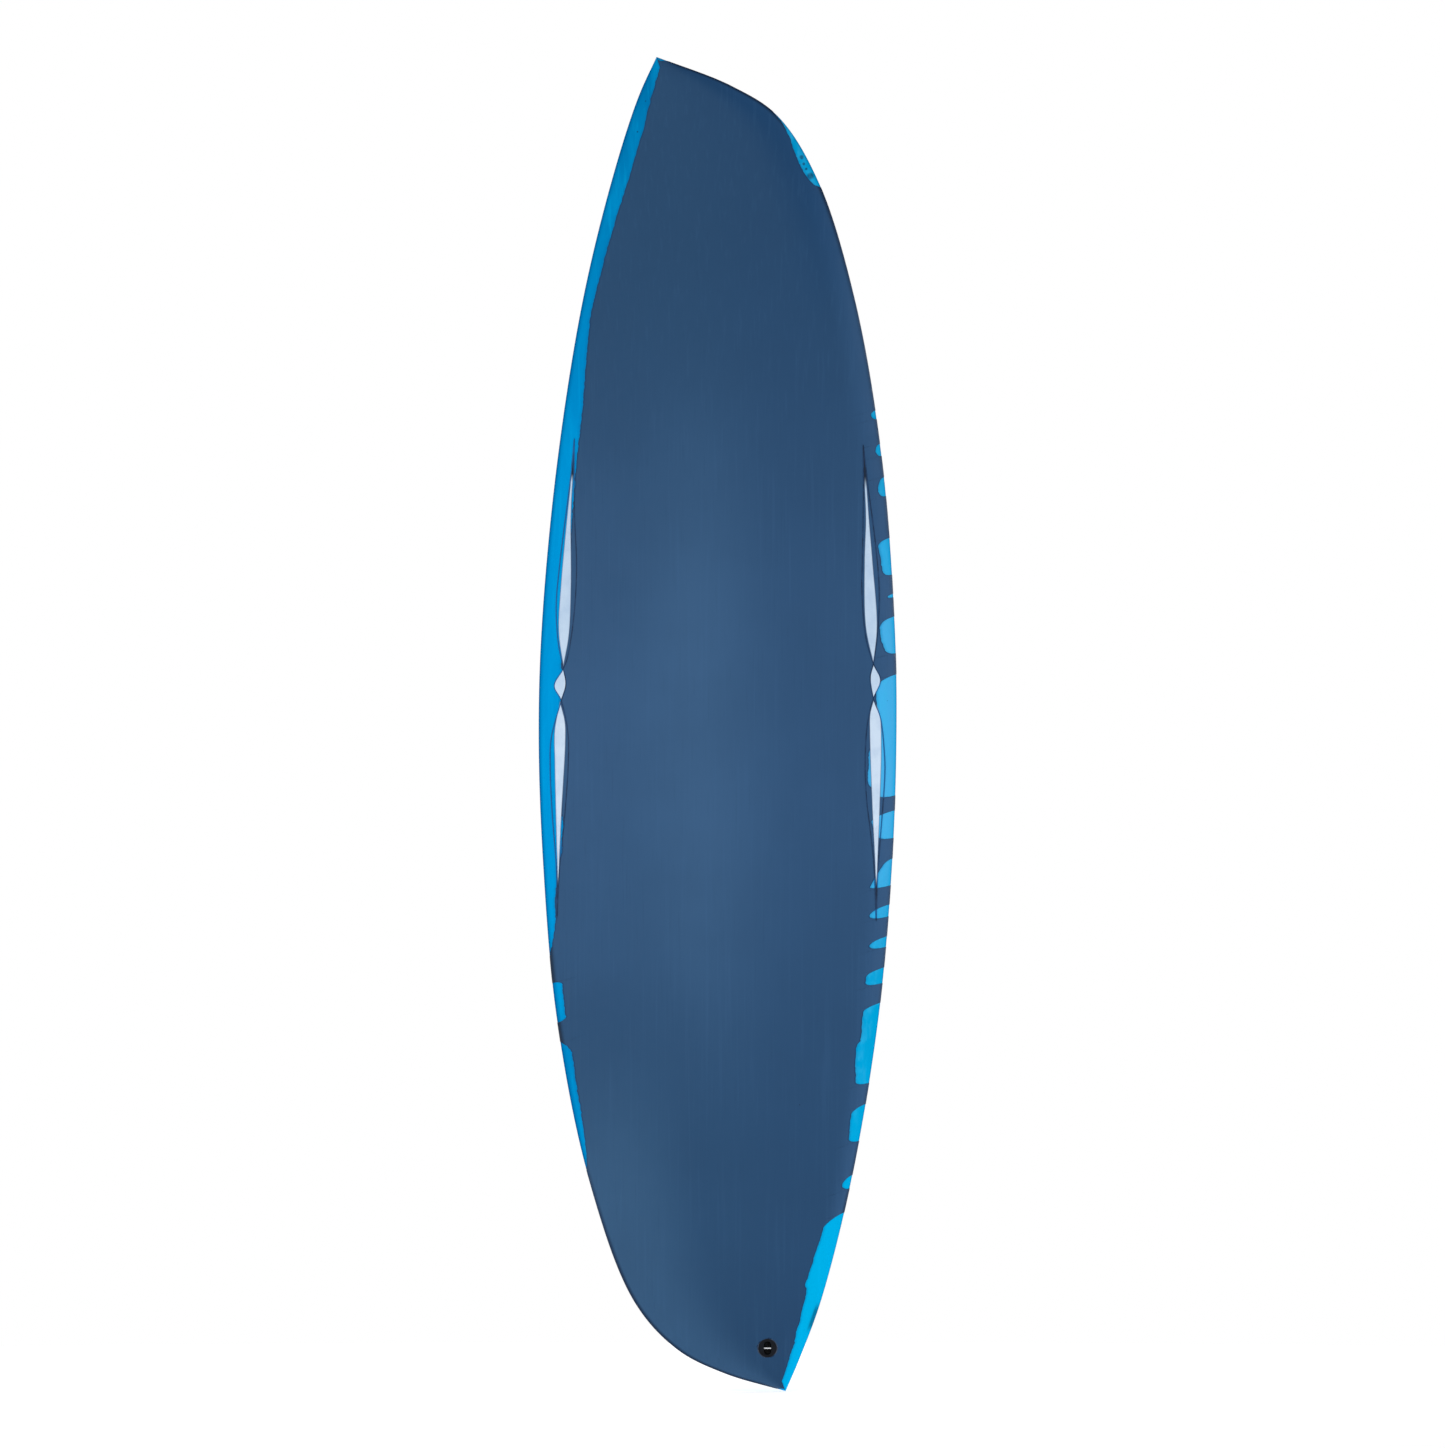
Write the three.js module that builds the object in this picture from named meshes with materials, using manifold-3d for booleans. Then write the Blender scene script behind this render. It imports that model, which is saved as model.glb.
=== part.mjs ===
// Asymmetric shortboard, 1882 mm long, as an assembly of its real pieces.
//
// Frame: +Z runs to the nose, the deck faces -Y, the finned bottom faces +Y and the toe-side rail is
// at +X. The origin is on the flat middle of the bottom, under the centre line. Units are millimetres.

import * as THREE from 'three';
import { mergeVertices } from 'three/addons/utils/BufferGeometryUtils.js';
import Module from 'manifold-3d';

const wasm = await Module();
wasm.setup();

// ---------------------------------------------------------------- driving dimensions

// Plan shape: [x, z] points down each rail from the nose tip to the tail tip.
const NOSE_TIP = [-86, 940];
const TAIL_TIP = [96, -942];
const TOE_RAIL = [NOSE_TIP, [20, 899], [85, 857], [141, 768], [194, 598], [232.5, 372], [250, 147],
  [253, 0], [247, -192], [227, -418], [189, -644], [146.5, -813], [115, -898], TAIL_TIP];
const HEEL_RAIL = [NOSE_TIP, [-112, 883], [-149, 768], [-190.5, 598], [-226.5, 372], [-248, 147],
  [-253, -10], [-247, -192], [-227, -418], [-181.5, -644], [-118, -815], [-57, -883], [9, -916.5], TAIL_TIP];
const HALF_LENGTH = 941;

// Side shape: the bottom curves up from a flat middle, and the foil thins towards both tips.
const FLAT_HALF_LENGTH = 120;
const NOSE_ROCKER = 130;
const NOSE_ROCKER_POWER = 2.2;
const TAIL_ROCKER = 55;
const TAIL_ROCKER_POWER = 1.9;
const CENTRE_THICKNESS = 66.7;
const NOSE_THICKNESS = 14;
const NOSE_FOIL_POWER = 2.0;
const TAIL_THICKNESS = 20;
const TAIL_FOIL_POWER = 1.9;

// Cross-section: a round rail, a crowned deck and a flat bottom whose edge is tucked.
const APEX_SHARE = 0.3;
const RAIL_SHARE = 0.42;
const RAIL_REACH = 28;
const EDGE_REACH = 30;
const TAIL_EDGE_REACH = 12;
const CROWN_POWER = 2.2;
const TIP_SOFTENING = 14;

// Layers and fits.
const LAMINATE = 1.2;
const GAP = 0.3;
const STRINGER_WIDTH = 4;

// Mesh density of the hull.
const SECTIONS = 36;
const STRIPS_PER_SIDE = 6;
const STRIP_POWER = 2.2;

// Leash cup, set in the deck near the tail.
const CUP_PLACE = [70.5, -881];
const CUP_RADIUS = 13.2;
const CUP_BODY_RADIUS = 12.2;
const CUP_FLANGE = 2;
const CUP_CHAMFER = 0.5;
const CUP_DEPTH = 14;
const CUP_POCKET_WIDTH = 10;
const CUP_POCKET_LENGTH = 18.6;
const CUP_POCKET_DEPTH = 12;
const PIN_RADIUS = 1.6;
const PIN_LENGTH = 17;
const PIN_DEPTH = 4.2;

// Fin boxes and the two tabs and two grub screws of each fin.
const BOX_LENGTH = 114;
const BOX_WIDTH = 23;
const BOX_DEPTH = 14.5;
const SLOT_DEPTH = 13.2;
const TAB_LENGTH = 30;
const TAB_SPACING = 56;
const TAB_THICKNESS = 5.6;
const TAB_DEPTH = 12.6;
const TAB_OVERLAP = 0.6;
const FIN_LIFT = 0.3;
const SCREW_RADIUS = 2.1;
const SCREW_LENGTH = 8;
const SCREW_RECESS = 0.8;
const SCREW_OFFSET = 7.4;
const SOCKET_RADIUS = 1.3;
const SOCKET_DEPTH = 2.4;

// Each fin: place is its middle on the bottom, outboard says which way it leans.
const FINS = [
  { name: 'toe', place: [136, -686], outboard: 1, base: 127, depth: 122, rake: 82, thickness: 8 },
  { name: 'heel_front', place: [-140, -640], outboard: -1, base: 114, depth: 112, rake: 74, thickness: 7.5 },
  { name: 'heel_rear', place: [-84, -772], outboard: -1, base: 104, depth: 94, rake: 60, thickness: 7 },
];
const TOE_IN = THREE.MathUtils.degToRad(3);
const CANT = THREE.MathUtils.degToRad(6);

// Blade shape: how much of the thickness is lost by the tip, and where the thickest part lies.
const TIP_THINNING = 0.62;
const FOIL_FRONT_POWER = 0.6;
const FOIL_SCALE = 2.88;

// Tools that only cut reach this far past the surface they cut.
const CUT_PAST = 1;
const POCKET_PAST = 6;

// Sides of the round parts.
const ROUND_SIDES = 24;
const SCREW_SIDES = 16;
const PIN_SIDES = 12;
const SOCKET_SIDES = 6;
const OBROUND_END_STEPS = 6;

// ---------------------------------------------------------------- materials

function material(colour, roughness, metalness) {
  return new THREE.MeshStandardMaterial({ color: colour, roughness, metalness });
}

const DECK_TINT = material('#33567e', 0.62, 0);
const BOTTOM_TINT = material('#0094da', 0.28, 0);
const FOAM = material('#eceae0', 0.9, 0);
const WOOD = material('#c9a26b', 0.7, 0);
const CUP_PLASTIC = material('#121a26', 0.45, 0);
const STEEL = material('#c6cacf', 0.25, 1);
const BOX_PLASTIC = material('#14202f', 0.5, 0);
const FIN_GLASS = material('#16324f', 0.2, 0);
const SCREW_STEEL = material('#9aa0a6', 0.3, 1);

// ---------------------------------------------------------------- solids and booleans

function geometryFromTriangles(triangles) {
  const corners = triangles.flatMap((triangle) => triangle.flatMap((point) => point.toArray()));
  const geometry = new THREE.BufferGeometry();
  geometry.setAttribute('position', new THREE.Float32BufferAttribute(corners, 3));
  return mergeVertices(geometry, 1e-4);
}

function solid(geometry) {
  const bare = geometry.clone();
  bare.deleteAttribute('normal');
  bare.deleteAttribute('uv');
  const merged = mergeVertices(bare, 1e-4);
  return new wasm.Manifold(new wasm.Mesh({
    numProp: 3,
    vertProperties: new Float32Array(merged.attributes.position.array),
    triVerts: new Uint32Array(merged.index.array),
  }));
}

function geometryOf(manifold) {
  const mesh = manifold.getMesh();
  const geometry = new THREE.BufferGeometry();
  geometry.setAttribute('position', new THREE.BufferAttribute(new Float32Array(mesh.vertProperties), 3));
  geometry.setIndex(new THREE.BufferAttribute(new Uint32Array(mesh.triVerts), 1));
  return geometry;
}

function obroundPrism(length, width, bottom, top) {
  const half = length / 2 - width / 2;
  const shape = new THREE.Shape();
  shape.absarc(half, 0, width / 2, -Math.PI / 2, Math.PI / 2, false);
  shape.absarc(-half, 0, width / 2, Math.PI / 2, Math.PI * 1.5, false);
  const depth = top - bottom;
  const options = { depth, bevelEnabled: false, curveSegments: OBROUND_END_STEPS };
  return new THREE.ExtrudeGeometry(shape, options).translate(0, 0, bottom);
}

function boxBetween(low, high) {
  const size = high.map((value, axis) => value - low[axis]);
  const middle = high.map((value, axis) => (value + low[axis]) / 2);
  return new THREE.BoxGeometry(...size).translate(...middle);
}

function rod(radius, length, sides) {
  return new THREE.CylinderGeometry(radius, radius, length, sides).rotateX(Math.PI / 2);
}

// ---------------------------------------------------------------- hull surface

function railCurve(points) {
  const curve = new THREE.CatmullRomCurve3(points.map(([x, z]) => new THREE.Vector3(x, 0, z)));
  curve.arcLengthDivisions = 800;
  return curve;
}

const toeRail = railCurve(TOE_RAIL);
const heelRail = railCurve(HEEL_RAIL);

// A rail point moved inwards by inset. side is 1 for the toe rail, -1 for the heel rail.
function railPoint(side, along, inset) {
  const curve = side > 0 ? toeRail : heelRail;
  const tangent = curve.getTangentAt(along);
  const inward = new THREE.Vector3(tangent.z, 0, -tangent.x).multiplyScalar(side);
  return curve.getPointAt(along).addScaledVector(inward, inset);
}

// A tip moved inwards along the bisector of its corner, so both inset rails meet there.
function tipPoint(along, inset) {
  const away = along === 0 ? 1 : -1;
  const toe = toeRail.getTangentAt(along).multiplyScalar(away);
  const heel = heelRail.getTangentAt(along).multiplyScalar(away);
  const halfAngle = toe.angleTo(heel) / 2;
  const bisector = toe.add(heel).normalize();
  return toeRail.getPointAt(along).addScaledVector(bisector, inset / Math.sin(halfAngle));
}

function chord(along, inset) {
  if (along === 0 || along === 1) {
    const tip = tipPoint(along, inset);
    return { heel: tip, toe: tip.clone() };
  }
  return { heel: railPoint(-1, along, inset), toe: railPoint(1, along, inset) };
}

// Goes from 0 to 1 as a quarter of an ellipse does, upright at 0 and level from 1 on.
function quarterRound(value) {
  const rest = 1 - Math.min(1, Math.max(0, value));
  return Math.sqrt(1 - rest * rest);
}

function rocker(z) {
  const beyond = Math.max(0, Math.abs(z) - FLAT_HALF_LENGTH) / (HALF_LENGTH - FLAT_HALF_LENGTH);
  return z > 0 ? NOSE_ROCKER * beyond ** NOSE_ROCKER_POWER : TAIL_ROCKER * beyond ** TAIL_ROCKER_POWER;
}

function thickness(z) {
  const share = Math.min(1, Math.abs(z) / HALF_LENGTH);
  if (z > 0) return CENTRE_THICKNESS - (CENTRE_THICKNESS - NOSE_THICKNESS) * share ** NOSE_FOIL_POWER;
  return CENTRE_THICKNESS - (CENTRE_THICKNESS - TAIL_THICKNESS) * share ** TAIL_FOIL_POWER;
}

// Height above the bottom plane. inner is 0 at a rail and 1 midway between the rails.
function deckHeight(z, halfWidth, inner, inset) {
  const apex = APEX_SHARE * thickness(z);
  const rise = thickness(z) - apex;
  const round = quarterRound((inner * halfWidth) / Math.min(RAIL_REACH, halfWidth));
  const crown = 1 - (1 - inner) ** CROWN_POWER;
  const shape = RAIL_SHARE * round + (1 - RAIL_SHARE) * crown;
  return apex + (rise - inset) * quarterRound(halfWidth / TIP_SOFTENING) * shape;
}

function bottomHeight(z, halfWidth, inner, inset) {
  const apex = APEX_SHARE * thickness(z);
  const tail = Math.max(0, -z / HALF_LENGTH);
  const reach = Math.min(EDGE_REACH + (TAIL_EDGE_REACH - EDGE_REACH) * tail, halfWidth);
  const round = quarterRound((inner * halfWidth) / reach);
  return apex - (apex - inset) * quarterRound(halfWidth / TIP_SOFTENING) * round;
}

// One point of the deck or the bottom. across runs from 0 at the heel rail to 1 at the toe rail.
function hullPoint(heightOf, along, across, inset) {
  const { heel, toe } = chord(along, inset);
  const halfWidth = heel.distanceTo(toe) / 2;
  const point = heel.clone().lerp(toe, across);
  const height = halfWidth > 0 ? heightOf(point.z, halfWidth, 1 - Math.abs(2 * across - 1), inset)
    : APEX_SHARE * thickness(point.z);
  point.y = -rocker(point.z) - height;
  return point;
}

// Rows of points from nose to tail, closer together towards the tips and the rails.
function hullGrid(heightOf, inset, lift) {
  const rows = [];
  for (let i = 0; i <= SECTIONS; i += 1) {
    const even = i / SECTIONS;
    const along = (even + (1 - Math.cos(Math.PI * even)) / 2) / 2;
    const row = [];
    for (let j = -STRIPS_PER_SIDE; j <= STRIPS_PER_SIDE; j += 1) {
      const inner = (1 - Math.abs(j) / STRIPS_PER_SIDE) ** STRIP_POWER;
      const across = j < 0 ? inner / 2 : 1 - inner / 2;
      const point = hullPoint(heightOf, i === SECTIONS ? 1 : along, across, inset);
      if (inner === 0) point.y -= lift;
      row.push(point);
    }
    rows.push(row);
  }
  return rows;
}

// Adds a triangle unless two of its corners meet, as they do where the rows close at a tip.
function addTriangle(list, a, b, c, flip) {
  const tiny = 1e-4;
  if (a.distanceTo(b) < tiny || b.distanceTo(c) < tiny || c.distanceTo(a) < tiny) return;
  list.push(flip ? [a, c, b] : [a, b, c]);
}

function addGrid(list, rows, flip) {
  for (let i = 0; i + 1 < rows.length; i += 1) {
    for (let j = 0; j + 1 < rows[i].length; j += 1) {
      addTriangle(list, rows[i][j], rows[i + 1][j], rows[i][j + 1], flip);
      addTriangle(list, rows[i + 1][j], rows[i + 1][j + 1], rows[i][j + 1], flip);
    }
  }
}

// A skin of even thickness between two grids, closed along both rails.
function skin(heightOf, lift, flip) {
  const outer = hullGrid(heightOf, 0, lift);
  const inner = hullGrid(heightOf, LAMINATE, lift);
  const triangles = [];
  addGrid(triangles, outer, flip);
  addGrid(triangles, inner, !flip);
  const last = outer[0].length - 1;
  for (let i = 0; i + 1 < outer.length; i += 1) {
    addTriangle(triangles, outer[i + 1][0], outer[i][0], inner[i][0], flip);
    addTriangle(triangles, outer[i + 1][0], inner[i][0], inner[i + 1][0], flip);
    addTriangle(triangles, outer[i][last], outer[i + 1][last], inner[i + 1][last], flip);
    addTriangle(triangles, outer[i][last], inner[i + 1][last], inner[i][last], flip);
  }
  return solid(geometryFromTriangles(triangles));
}

function core() {
  const triangles = [];
  addGrid(triangles, hullGrid(deckHeight, LAMINATE + GAP, 0), false);
  addGrid(triangles, hullGrid(bottomHeight, LAMINATE + GAP, 0), true);
  return solid(geometryFromTriangles(triangles));
}

// The surface point and outward normal over a plan position, found by closing in on its chord.
function onHull(heightOf, [x, z], outwards) {
  const target = new THREE.Vector3(x, 0, z);
  let low = 0;
  let high = 1;
  for (let step = 0; step < 40; step += 1) {
    const { heel, toe } = chord((low + high) / 2, 0);
    const side = toe.clone().sub(heel).cross(target.clone().sub(heel)).y;
    if (side > 0) low = (low + high) / 2;
    else high = (low + high) / 2;
  }
  const { heel, toe } = chord(low, 0);
  const across = heel.distanceTo(target) / heel.distanceTo(toe);
  const point = hullPoint(heightOf, low, across, 0);
  const alongStep = hullPoint(heightOf, low + 0.001, across, 0).sub(point);
  const acrossStep = hullPoint(heightOf, low, across + 0.001, 0).sub(point);
  const normal = alongStep.cross(acrossStep).normalize();
  if (normal.y * outwards < 0) normal.negate();
  return { point, normal };
}

// A group whose own +Z is the surface normal and whose own +X is as near to a direction as it can be.
function frameAt({ point, normal }, direction) {
  const side = normal.clone().cross(direction).normalize();
  const forward = side.clone().cross(normal);
  const group = new THREE.Group();
  group.position.copy(point);
  group.quaternion.setFromRotationMatrix(new THREE.Matrix4().makeBasis(forward, side, normal));
  group.updateMatrix();
  return group;
}

// ---------------------------------------------------------------- leash cup

// The cup without its pocket, grown on every side.
function cupShape(grow) {
  const rim = CUP_RADIUS + grow;
  const body = CUP_BODY_RADIUS + grow;
  const flange = CUP_FLANGE + grow;
  const profile = [
    [0, grow], [rim - CUP_CHAMFER, grow], [rim, grow - CUP_CHAMFER], [rim, -flange],
    [body, -flange], [body, -CUP_DEPTH - grow], [0, -CUP_DEPTH - grow],
  ];
  const points = profile.reverse().map(([radius, height]) => new THREE.Vector2(radius, height));
  return new THREE.LatheGeometry(points, ROUND_SIDES).rotateX(Math.PI / 2);
}

function leashCup() {
  const pocket = obroundPrism(CUP_POCKET_LENGTH, CUP_POCKET_WIDTH, -CUP_POCKET_DEPTH, CUT_PAST);
  pocket.rotateZ(Math.PI / 2);
  const pinHole = rod(PIN_RADIUS + GAP, PIN_LENGTH + 2 * GAP, PIN_SIDES).rotateY(Math.PI / 2);
  pinHole.translate(0, 0, -PIN_DEPTH);
  return geometryOf(solid(cupShape(0)).subtract(solid(pocket)).subtract(solid(pinHole)));
}

function leashPin() {
  return rod(PIN_RADIUS, PIN_LENGTH, PIN_SIDES).rotateY(Math.PI / 2).translate(0, 0, -PIN_DEPTH);
}

// ---------------------------------------------------------------- fin boxes, fins and screws

const screwSpots = [TAB_SPACING / 2, -TAB_SPACING / 2];

function finBox(outboard) {
  let body = solid(obroundPrism(BOX_LENGTH, BOX_WIDTH, -BOX_DEPTH, 0));
  for (const x of screwSpots) {
    const slot = boxBetween(
      [x - TAB_LENGTH / 2 - GAP, -TAB_THICKNESS / 2 - GAP, -SLOT_DEPTH],
      [x + TAB_LENGTH / 2 + GAP, TAB_THICKNESS / 2 + GAP, CUT_PAST],
    );
    const holeDepth = SCREW_LENGTH + SCREW_RECESS + GAP;
    const hole = rod(SCREW_RADIUS + GAP, holeDepth + CUT_PAST, SCREW_SIDES);
    hole.translate(x, outboard * SCREW_OFFSET, (CUT_PAST - holeDepth) / 2);
    body = body.subtract(solid(slot)).subtract(solid(hole));
  }
  return geometryOf(body);
}

function grubScrew() {
  const socket = rod(SOCKET_RADIUS, SOCKET_DEPTH + CUT_PAST, SOCKET_SIDES);
  socket.translate(0, 0, (CUT_PAST - SOCKET_DEPTH) / 2);
  const shank = rod(SCREW_RADIUS, SCREW_LENGTH, SCREW_SIDES).translate(0, 0, -SCREW_LENGTH / 2);
  return geometryOf(solid(shank).subtract(solid(socket)));
}

// Leading and trailing edges of a blade, as [x, z] curves from the base to the tip. The handles of
// the curves are shares of the base, measured from its end and from the tip, and of the depth.
function finEdges({ base, depth, rake }) {
  const front = base / 2;
  const tip = new THREE.Vector2(0.45 * base - front - rake, depth);
  const curve = (start, inwards, lower, past, upper) => new THREE.CubicBezierCurve(
    new THREE.Vector2(start, 0),
    new THREE.Vector2(start + inwards * base, lower * depth),
    new THREE.Vector2(tip.x + past * base, upper * depth),
    tip,
  );
  const leading = curve(front, -0.2, 0.45, 0.42, 0.93);
  const trailing = curve(-front, 0.16, 0.32, 0.12, 0.72);
  return { leading, trailing };
}

// The blade is flat inboard and foiled outboard, and leans outboard by the cant angle.
function blade(fin) {
  const stations = 10;
  const steps = 8;
  const { leading, trailing } = finEdges(fin);
  const flat = [];
  const foiled = [];
  for (let i = 0; i <= stations; i += 1) {
    const front = leading.getPoint(i / stations);
    const back = trailing.getPoint(i / stations);
    const thick = i < stations ? fin.thickness * (1 - TIP_THINNING * (i / stations)) : 0;
    const flatRow = [];
    const foiledRow = [];
    for (let j = 0; j <= steps; j += 1) {
      const fromFront = (1 + Math.cos((Math.PI * j) / steps)) / 2;
      const spot = front.clone().lerp(back, fromFront);
      const bulge = thick * FOIL_SCALE * fromFront ** FOIL_FRONT_POWER * (1 - fromFront);
      const lean = Math.tan(CANT) * spot.y - TAB_THICKNESS / 2;
      flatRow.push(new THREE.Vector3(spot.x, fin.outboard * lean, spot.y + FIN_LIFT));
      foiledRow.push(new THREE.Vector3(spot.x, fin.outboard * (lean + bulge), spot.y + FIN_LIFT));
    }
    flat.push(flatRow);
    foiled.push(foiledRow);
  }
  const triangles = [];
  const flip = fin.outboard > 0;
  addGrid(triangles, flat, flip);
  addGrid(triangles, foiled, !flip);
  for (let j = 0; j < steps; j += 1) {
    addTriangle(triangles, flat[0][j], flat[0][j + 1], foiled[0][j], flip);
    addTriangle(triangles, flat[0][j + 1], foiled[0][j + 1], foiled[0][j], flip);
  }
  return solid(geometryFromTriangles(triangles));
}

function finGeometry(fin) {
  let body = blade(fin);
  for (const x of screwSpots) {
    const tab = boxBetween(
      [x - TAB_LENGTH / 2, -TAB_THICKNESS / 2, -TAB_DEPTH],
      [x + TAB_LENGTH / 2, TAB_THICKNESS / 2, FIN_LIFT + TAB_OVERLAP],
    );
    body = body.add(solid(tab));
  }
  return geometryOf(body);
}

// ---------------------------------------------------------------- assembly

function mesh(name, geometry, look) {
  const piece = new THREE.Mesh(geometry, look);
  piece.name = name;
  return piece;
}

const board = new THREE.Group();

const cupFrame = frameAt(onHull(deckHeight, CUP_PLACE, -1), new THREE.Vector3(1, 0, 0));
cupFrame.add(mesh('leash_cup', leashCup(), CUP_PLASTIC), mesh('leash_pin', leashPin(), STEEL));
const cupPocket = solid(cupShape(GAP).applyMatrix4(cupFrame.matrix));
const cupOpening = solid(rod(CUP_RADIUS + GAP, 2 * POCKET_PAST, ROUND_SIDES).applyMatrix4(cupFrame.matrix));

const finFrames = FINS.map((fin) => {
  const frame = frameAt(onHull(bottomHeight, fin.place, 1), new THREE.Vector3(0, 0, 1));
  frame.rotateZ(-fin.outboard * TOE_IN);
  frame.updateMatrix();
  frame.add(mesh(`fin_box_${fin.name}`, finBox(fin.outboard), BOX_PLASTIC));
  frame.add(mesh(`fin_${fin.name}`, finGeometry(fin), FIN_GLASS));
  for (const [index, x] of screwSpots.entries()) {
    const end = index === 0 ? 'front' : 'rear';
    const screw = mesh(`grub_screw_${fin.name}_${end}`, grubScrew(), SCREW_STEEL);
    screw.position.set(x, fin.outboard * SCREW_OFFSET, -SCREW_RECESS);
    frame.add(screw);
  }
  return frame;
});
const boxPockets = finFrames.map((frame) => {
  const pocket = obroundPrism(BOX_LENGTH + 2 * GAP, BOX_WIDTH + 2 * GAP, -BOX_DEPTH - GAP, POCKET_PAST);
  return solid(pocket.applyMatrix4(frame.matrix));
});

const reach = 2 * HALF_LENGTH;
const heelSide = solid(boxBetween([-reach, -reach, -reach], [-STRINGER_WIDTH / 2, reach, reach]));
const toeSide = solid(boxBetween([STRINGER_WIDTH / 2, -reach, -reach], [reach, reach, reach]));
const stringerHalf = STRINGER_WIDTH / 2 - GAP;
const stringerSlab = solid(boxBetween([-stringerHalf, -reach, -reach], [stringerHalf, reach, reach]));

let foam = core();
const stringer = foam.intersect(stringerSlab);
let bottomSkin = skin(bottomHeight, -GAP / 2, true);
for (const pocket of boxPockets) {
  foam = foam.subtract(pocket);
  bottomSkin = bottomSkin.subtract(pocket);
}
foam = foam.subtract(cupPocket).subtract(cupOpening);
const deckSkin = skin(deckHeight, GAP / 2, false).subtract(cupOpening);

board.add(
  mesh('wooden_stringer', geometryOf(stringer), WOOD),
  mesh('foam_blank_heel_side', geometryOf(foam.intersect(heelSide)), FOAM),
  mesh('foam_blank_toe_side', geometryOf(foam.intersect(toeSide)), FOAM),
  mesh('deck_laminate', geometryOf(deckSkin), DECK_TINT),
  mesh('bottom_laminate', geometryOf(bottomSkin), BOTTOM_TINT),
  cupFrame,
  ...finFrames,
);

export default board;
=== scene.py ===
"""Looks of the asymmetric surfboard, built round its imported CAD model.

The frame is the CAD's: +Z runs to the nose, the deck faces -Y and the toe-side rail is at +X.
Lengths in this file are millimetres. They become metres where a mesh or a light is made.
"""
import math

import bmesh
import bpy
import numpy as np
from mathutils import Matrix, Vector


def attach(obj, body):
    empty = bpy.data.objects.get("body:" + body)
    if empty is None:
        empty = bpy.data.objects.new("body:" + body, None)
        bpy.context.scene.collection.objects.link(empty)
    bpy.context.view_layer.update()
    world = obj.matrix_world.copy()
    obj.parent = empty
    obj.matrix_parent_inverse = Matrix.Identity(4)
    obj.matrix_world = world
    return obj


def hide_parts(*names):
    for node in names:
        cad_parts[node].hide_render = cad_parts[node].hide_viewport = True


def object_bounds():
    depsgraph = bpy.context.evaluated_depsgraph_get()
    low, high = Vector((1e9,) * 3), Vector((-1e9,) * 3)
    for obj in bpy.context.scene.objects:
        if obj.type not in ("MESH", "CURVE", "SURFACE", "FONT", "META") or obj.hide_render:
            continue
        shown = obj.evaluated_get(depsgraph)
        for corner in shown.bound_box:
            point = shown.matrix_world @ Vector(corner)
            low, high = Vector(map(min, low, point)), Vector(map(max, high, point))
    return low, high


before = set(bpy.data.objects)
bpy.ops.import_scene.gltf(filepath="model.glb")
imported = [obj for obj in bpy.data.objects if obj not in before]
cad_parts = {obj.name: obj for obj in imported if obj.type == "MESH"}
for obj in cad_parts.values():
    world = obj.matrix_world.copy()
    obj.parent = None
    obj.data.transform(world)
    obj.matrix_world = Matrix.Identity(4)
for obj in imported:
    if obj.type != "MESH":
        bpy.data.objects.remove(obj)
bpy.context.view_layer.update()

MM = 0.001
RANDOM = np.random.default_rng(11)

# ------------ driving dimensions, as in the CAD

NOSE_TIP = (-86, 940)
TAIL_TIP = (96, -942)
TOE_POINTS = [NOSE_TIP, (20, 899), (85, 857), (141, 768), (194, 598), (232.5, 372), (250, 147),
              (253, 0), (247, -192), (227, -418), (189, -644), (146.5, -813), (115, -898), TAIL_TIP]
HEEL_POINTS = [NOSE_TIP, (-112, 883), (-149, 768), (-190.5, 598), (-226.5, 372), (-248, 147),
               (-253, -10), (-247, -192), (-227, -418), (-181.5, -644), (-118, -815), (-57, -883),
               (9, -916.5), TAIL_TIP]
HALF_LENGTH = 941
FLAT_HALF_LENGTH = 120
NOSE_ROCKER, NOSE_ROCKER_POWER = 130, 2.2
TAIL_ROCKER, TAIL_ROCKER_POWER = 55, 1.9
CENTRE_THICKNESS = 66.7
NOSE_THICKNESS, NOSE_FOIL_POWER = 14, 2.0
TAIL_THICKNESS, TAIL_FOIL_POWER = 20, 1.9
APEX_SHARE = 0.3
RAIL_SHARE = 0.42
RAIL_REACH = 28
EDGE_REACH, TAIL_EDGE_REACH = 30, 12
CROWN_POWER = 2.2
TIP_SOFTENING = 14

CUP_PLACE = (70.5, -881)
CUP_RADIUS = 13.2
CUP_DEPTH = 14
POCKET_WIDTH, POCKET_LENGTH, POCKET_DEPTH = 10, 18.6, 12
PIN_RADIUS, PIN_LENGTH, PIN_DEPTH = 1.6, 17, 4.2

BOX_LENGTH, BOX_WIDTH, BOX_DEPTH = 114, 23, 14.5
SLOT_DEPTH = 13.2
TAB_LENGTH, TAB_SPACING, TAB_THICKNESS, TAB_DEPTH = 30, 56, 5.6, 12.6
FIN_LIFT = 0.3
GAP = 0.3
SCREW_RADIUS, SCREW_LENGTH, SCREW_RECESS, SCREW_OFFSET = 2.1, 8, 0.8, 7.4
SOCKET_RADIUS, SOCKET_DEPTH = 1.3, 2.4
FINS = {
    "toe": dict(place=(136, -686), outboard=1, base=127, depth=122, rake=82, thickness=8),
    "heel_front": dict(place=(-140, -640), outboard=-1, base=114, depth=112, rake=74, thickness=7.5),
    "heel_rear": dict(place=(-84, -772), outboard=-1, base=104, depth=94, rake=60, thickness=7),
}
TOE_IN = math.radians(3)
CANT = math.radians(6)

# ------------ hull surface

DECK, BOTTOM = "deck", "bottom"
GIRTH_STEP = 38
CURVE_STEPS = 160


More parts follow.
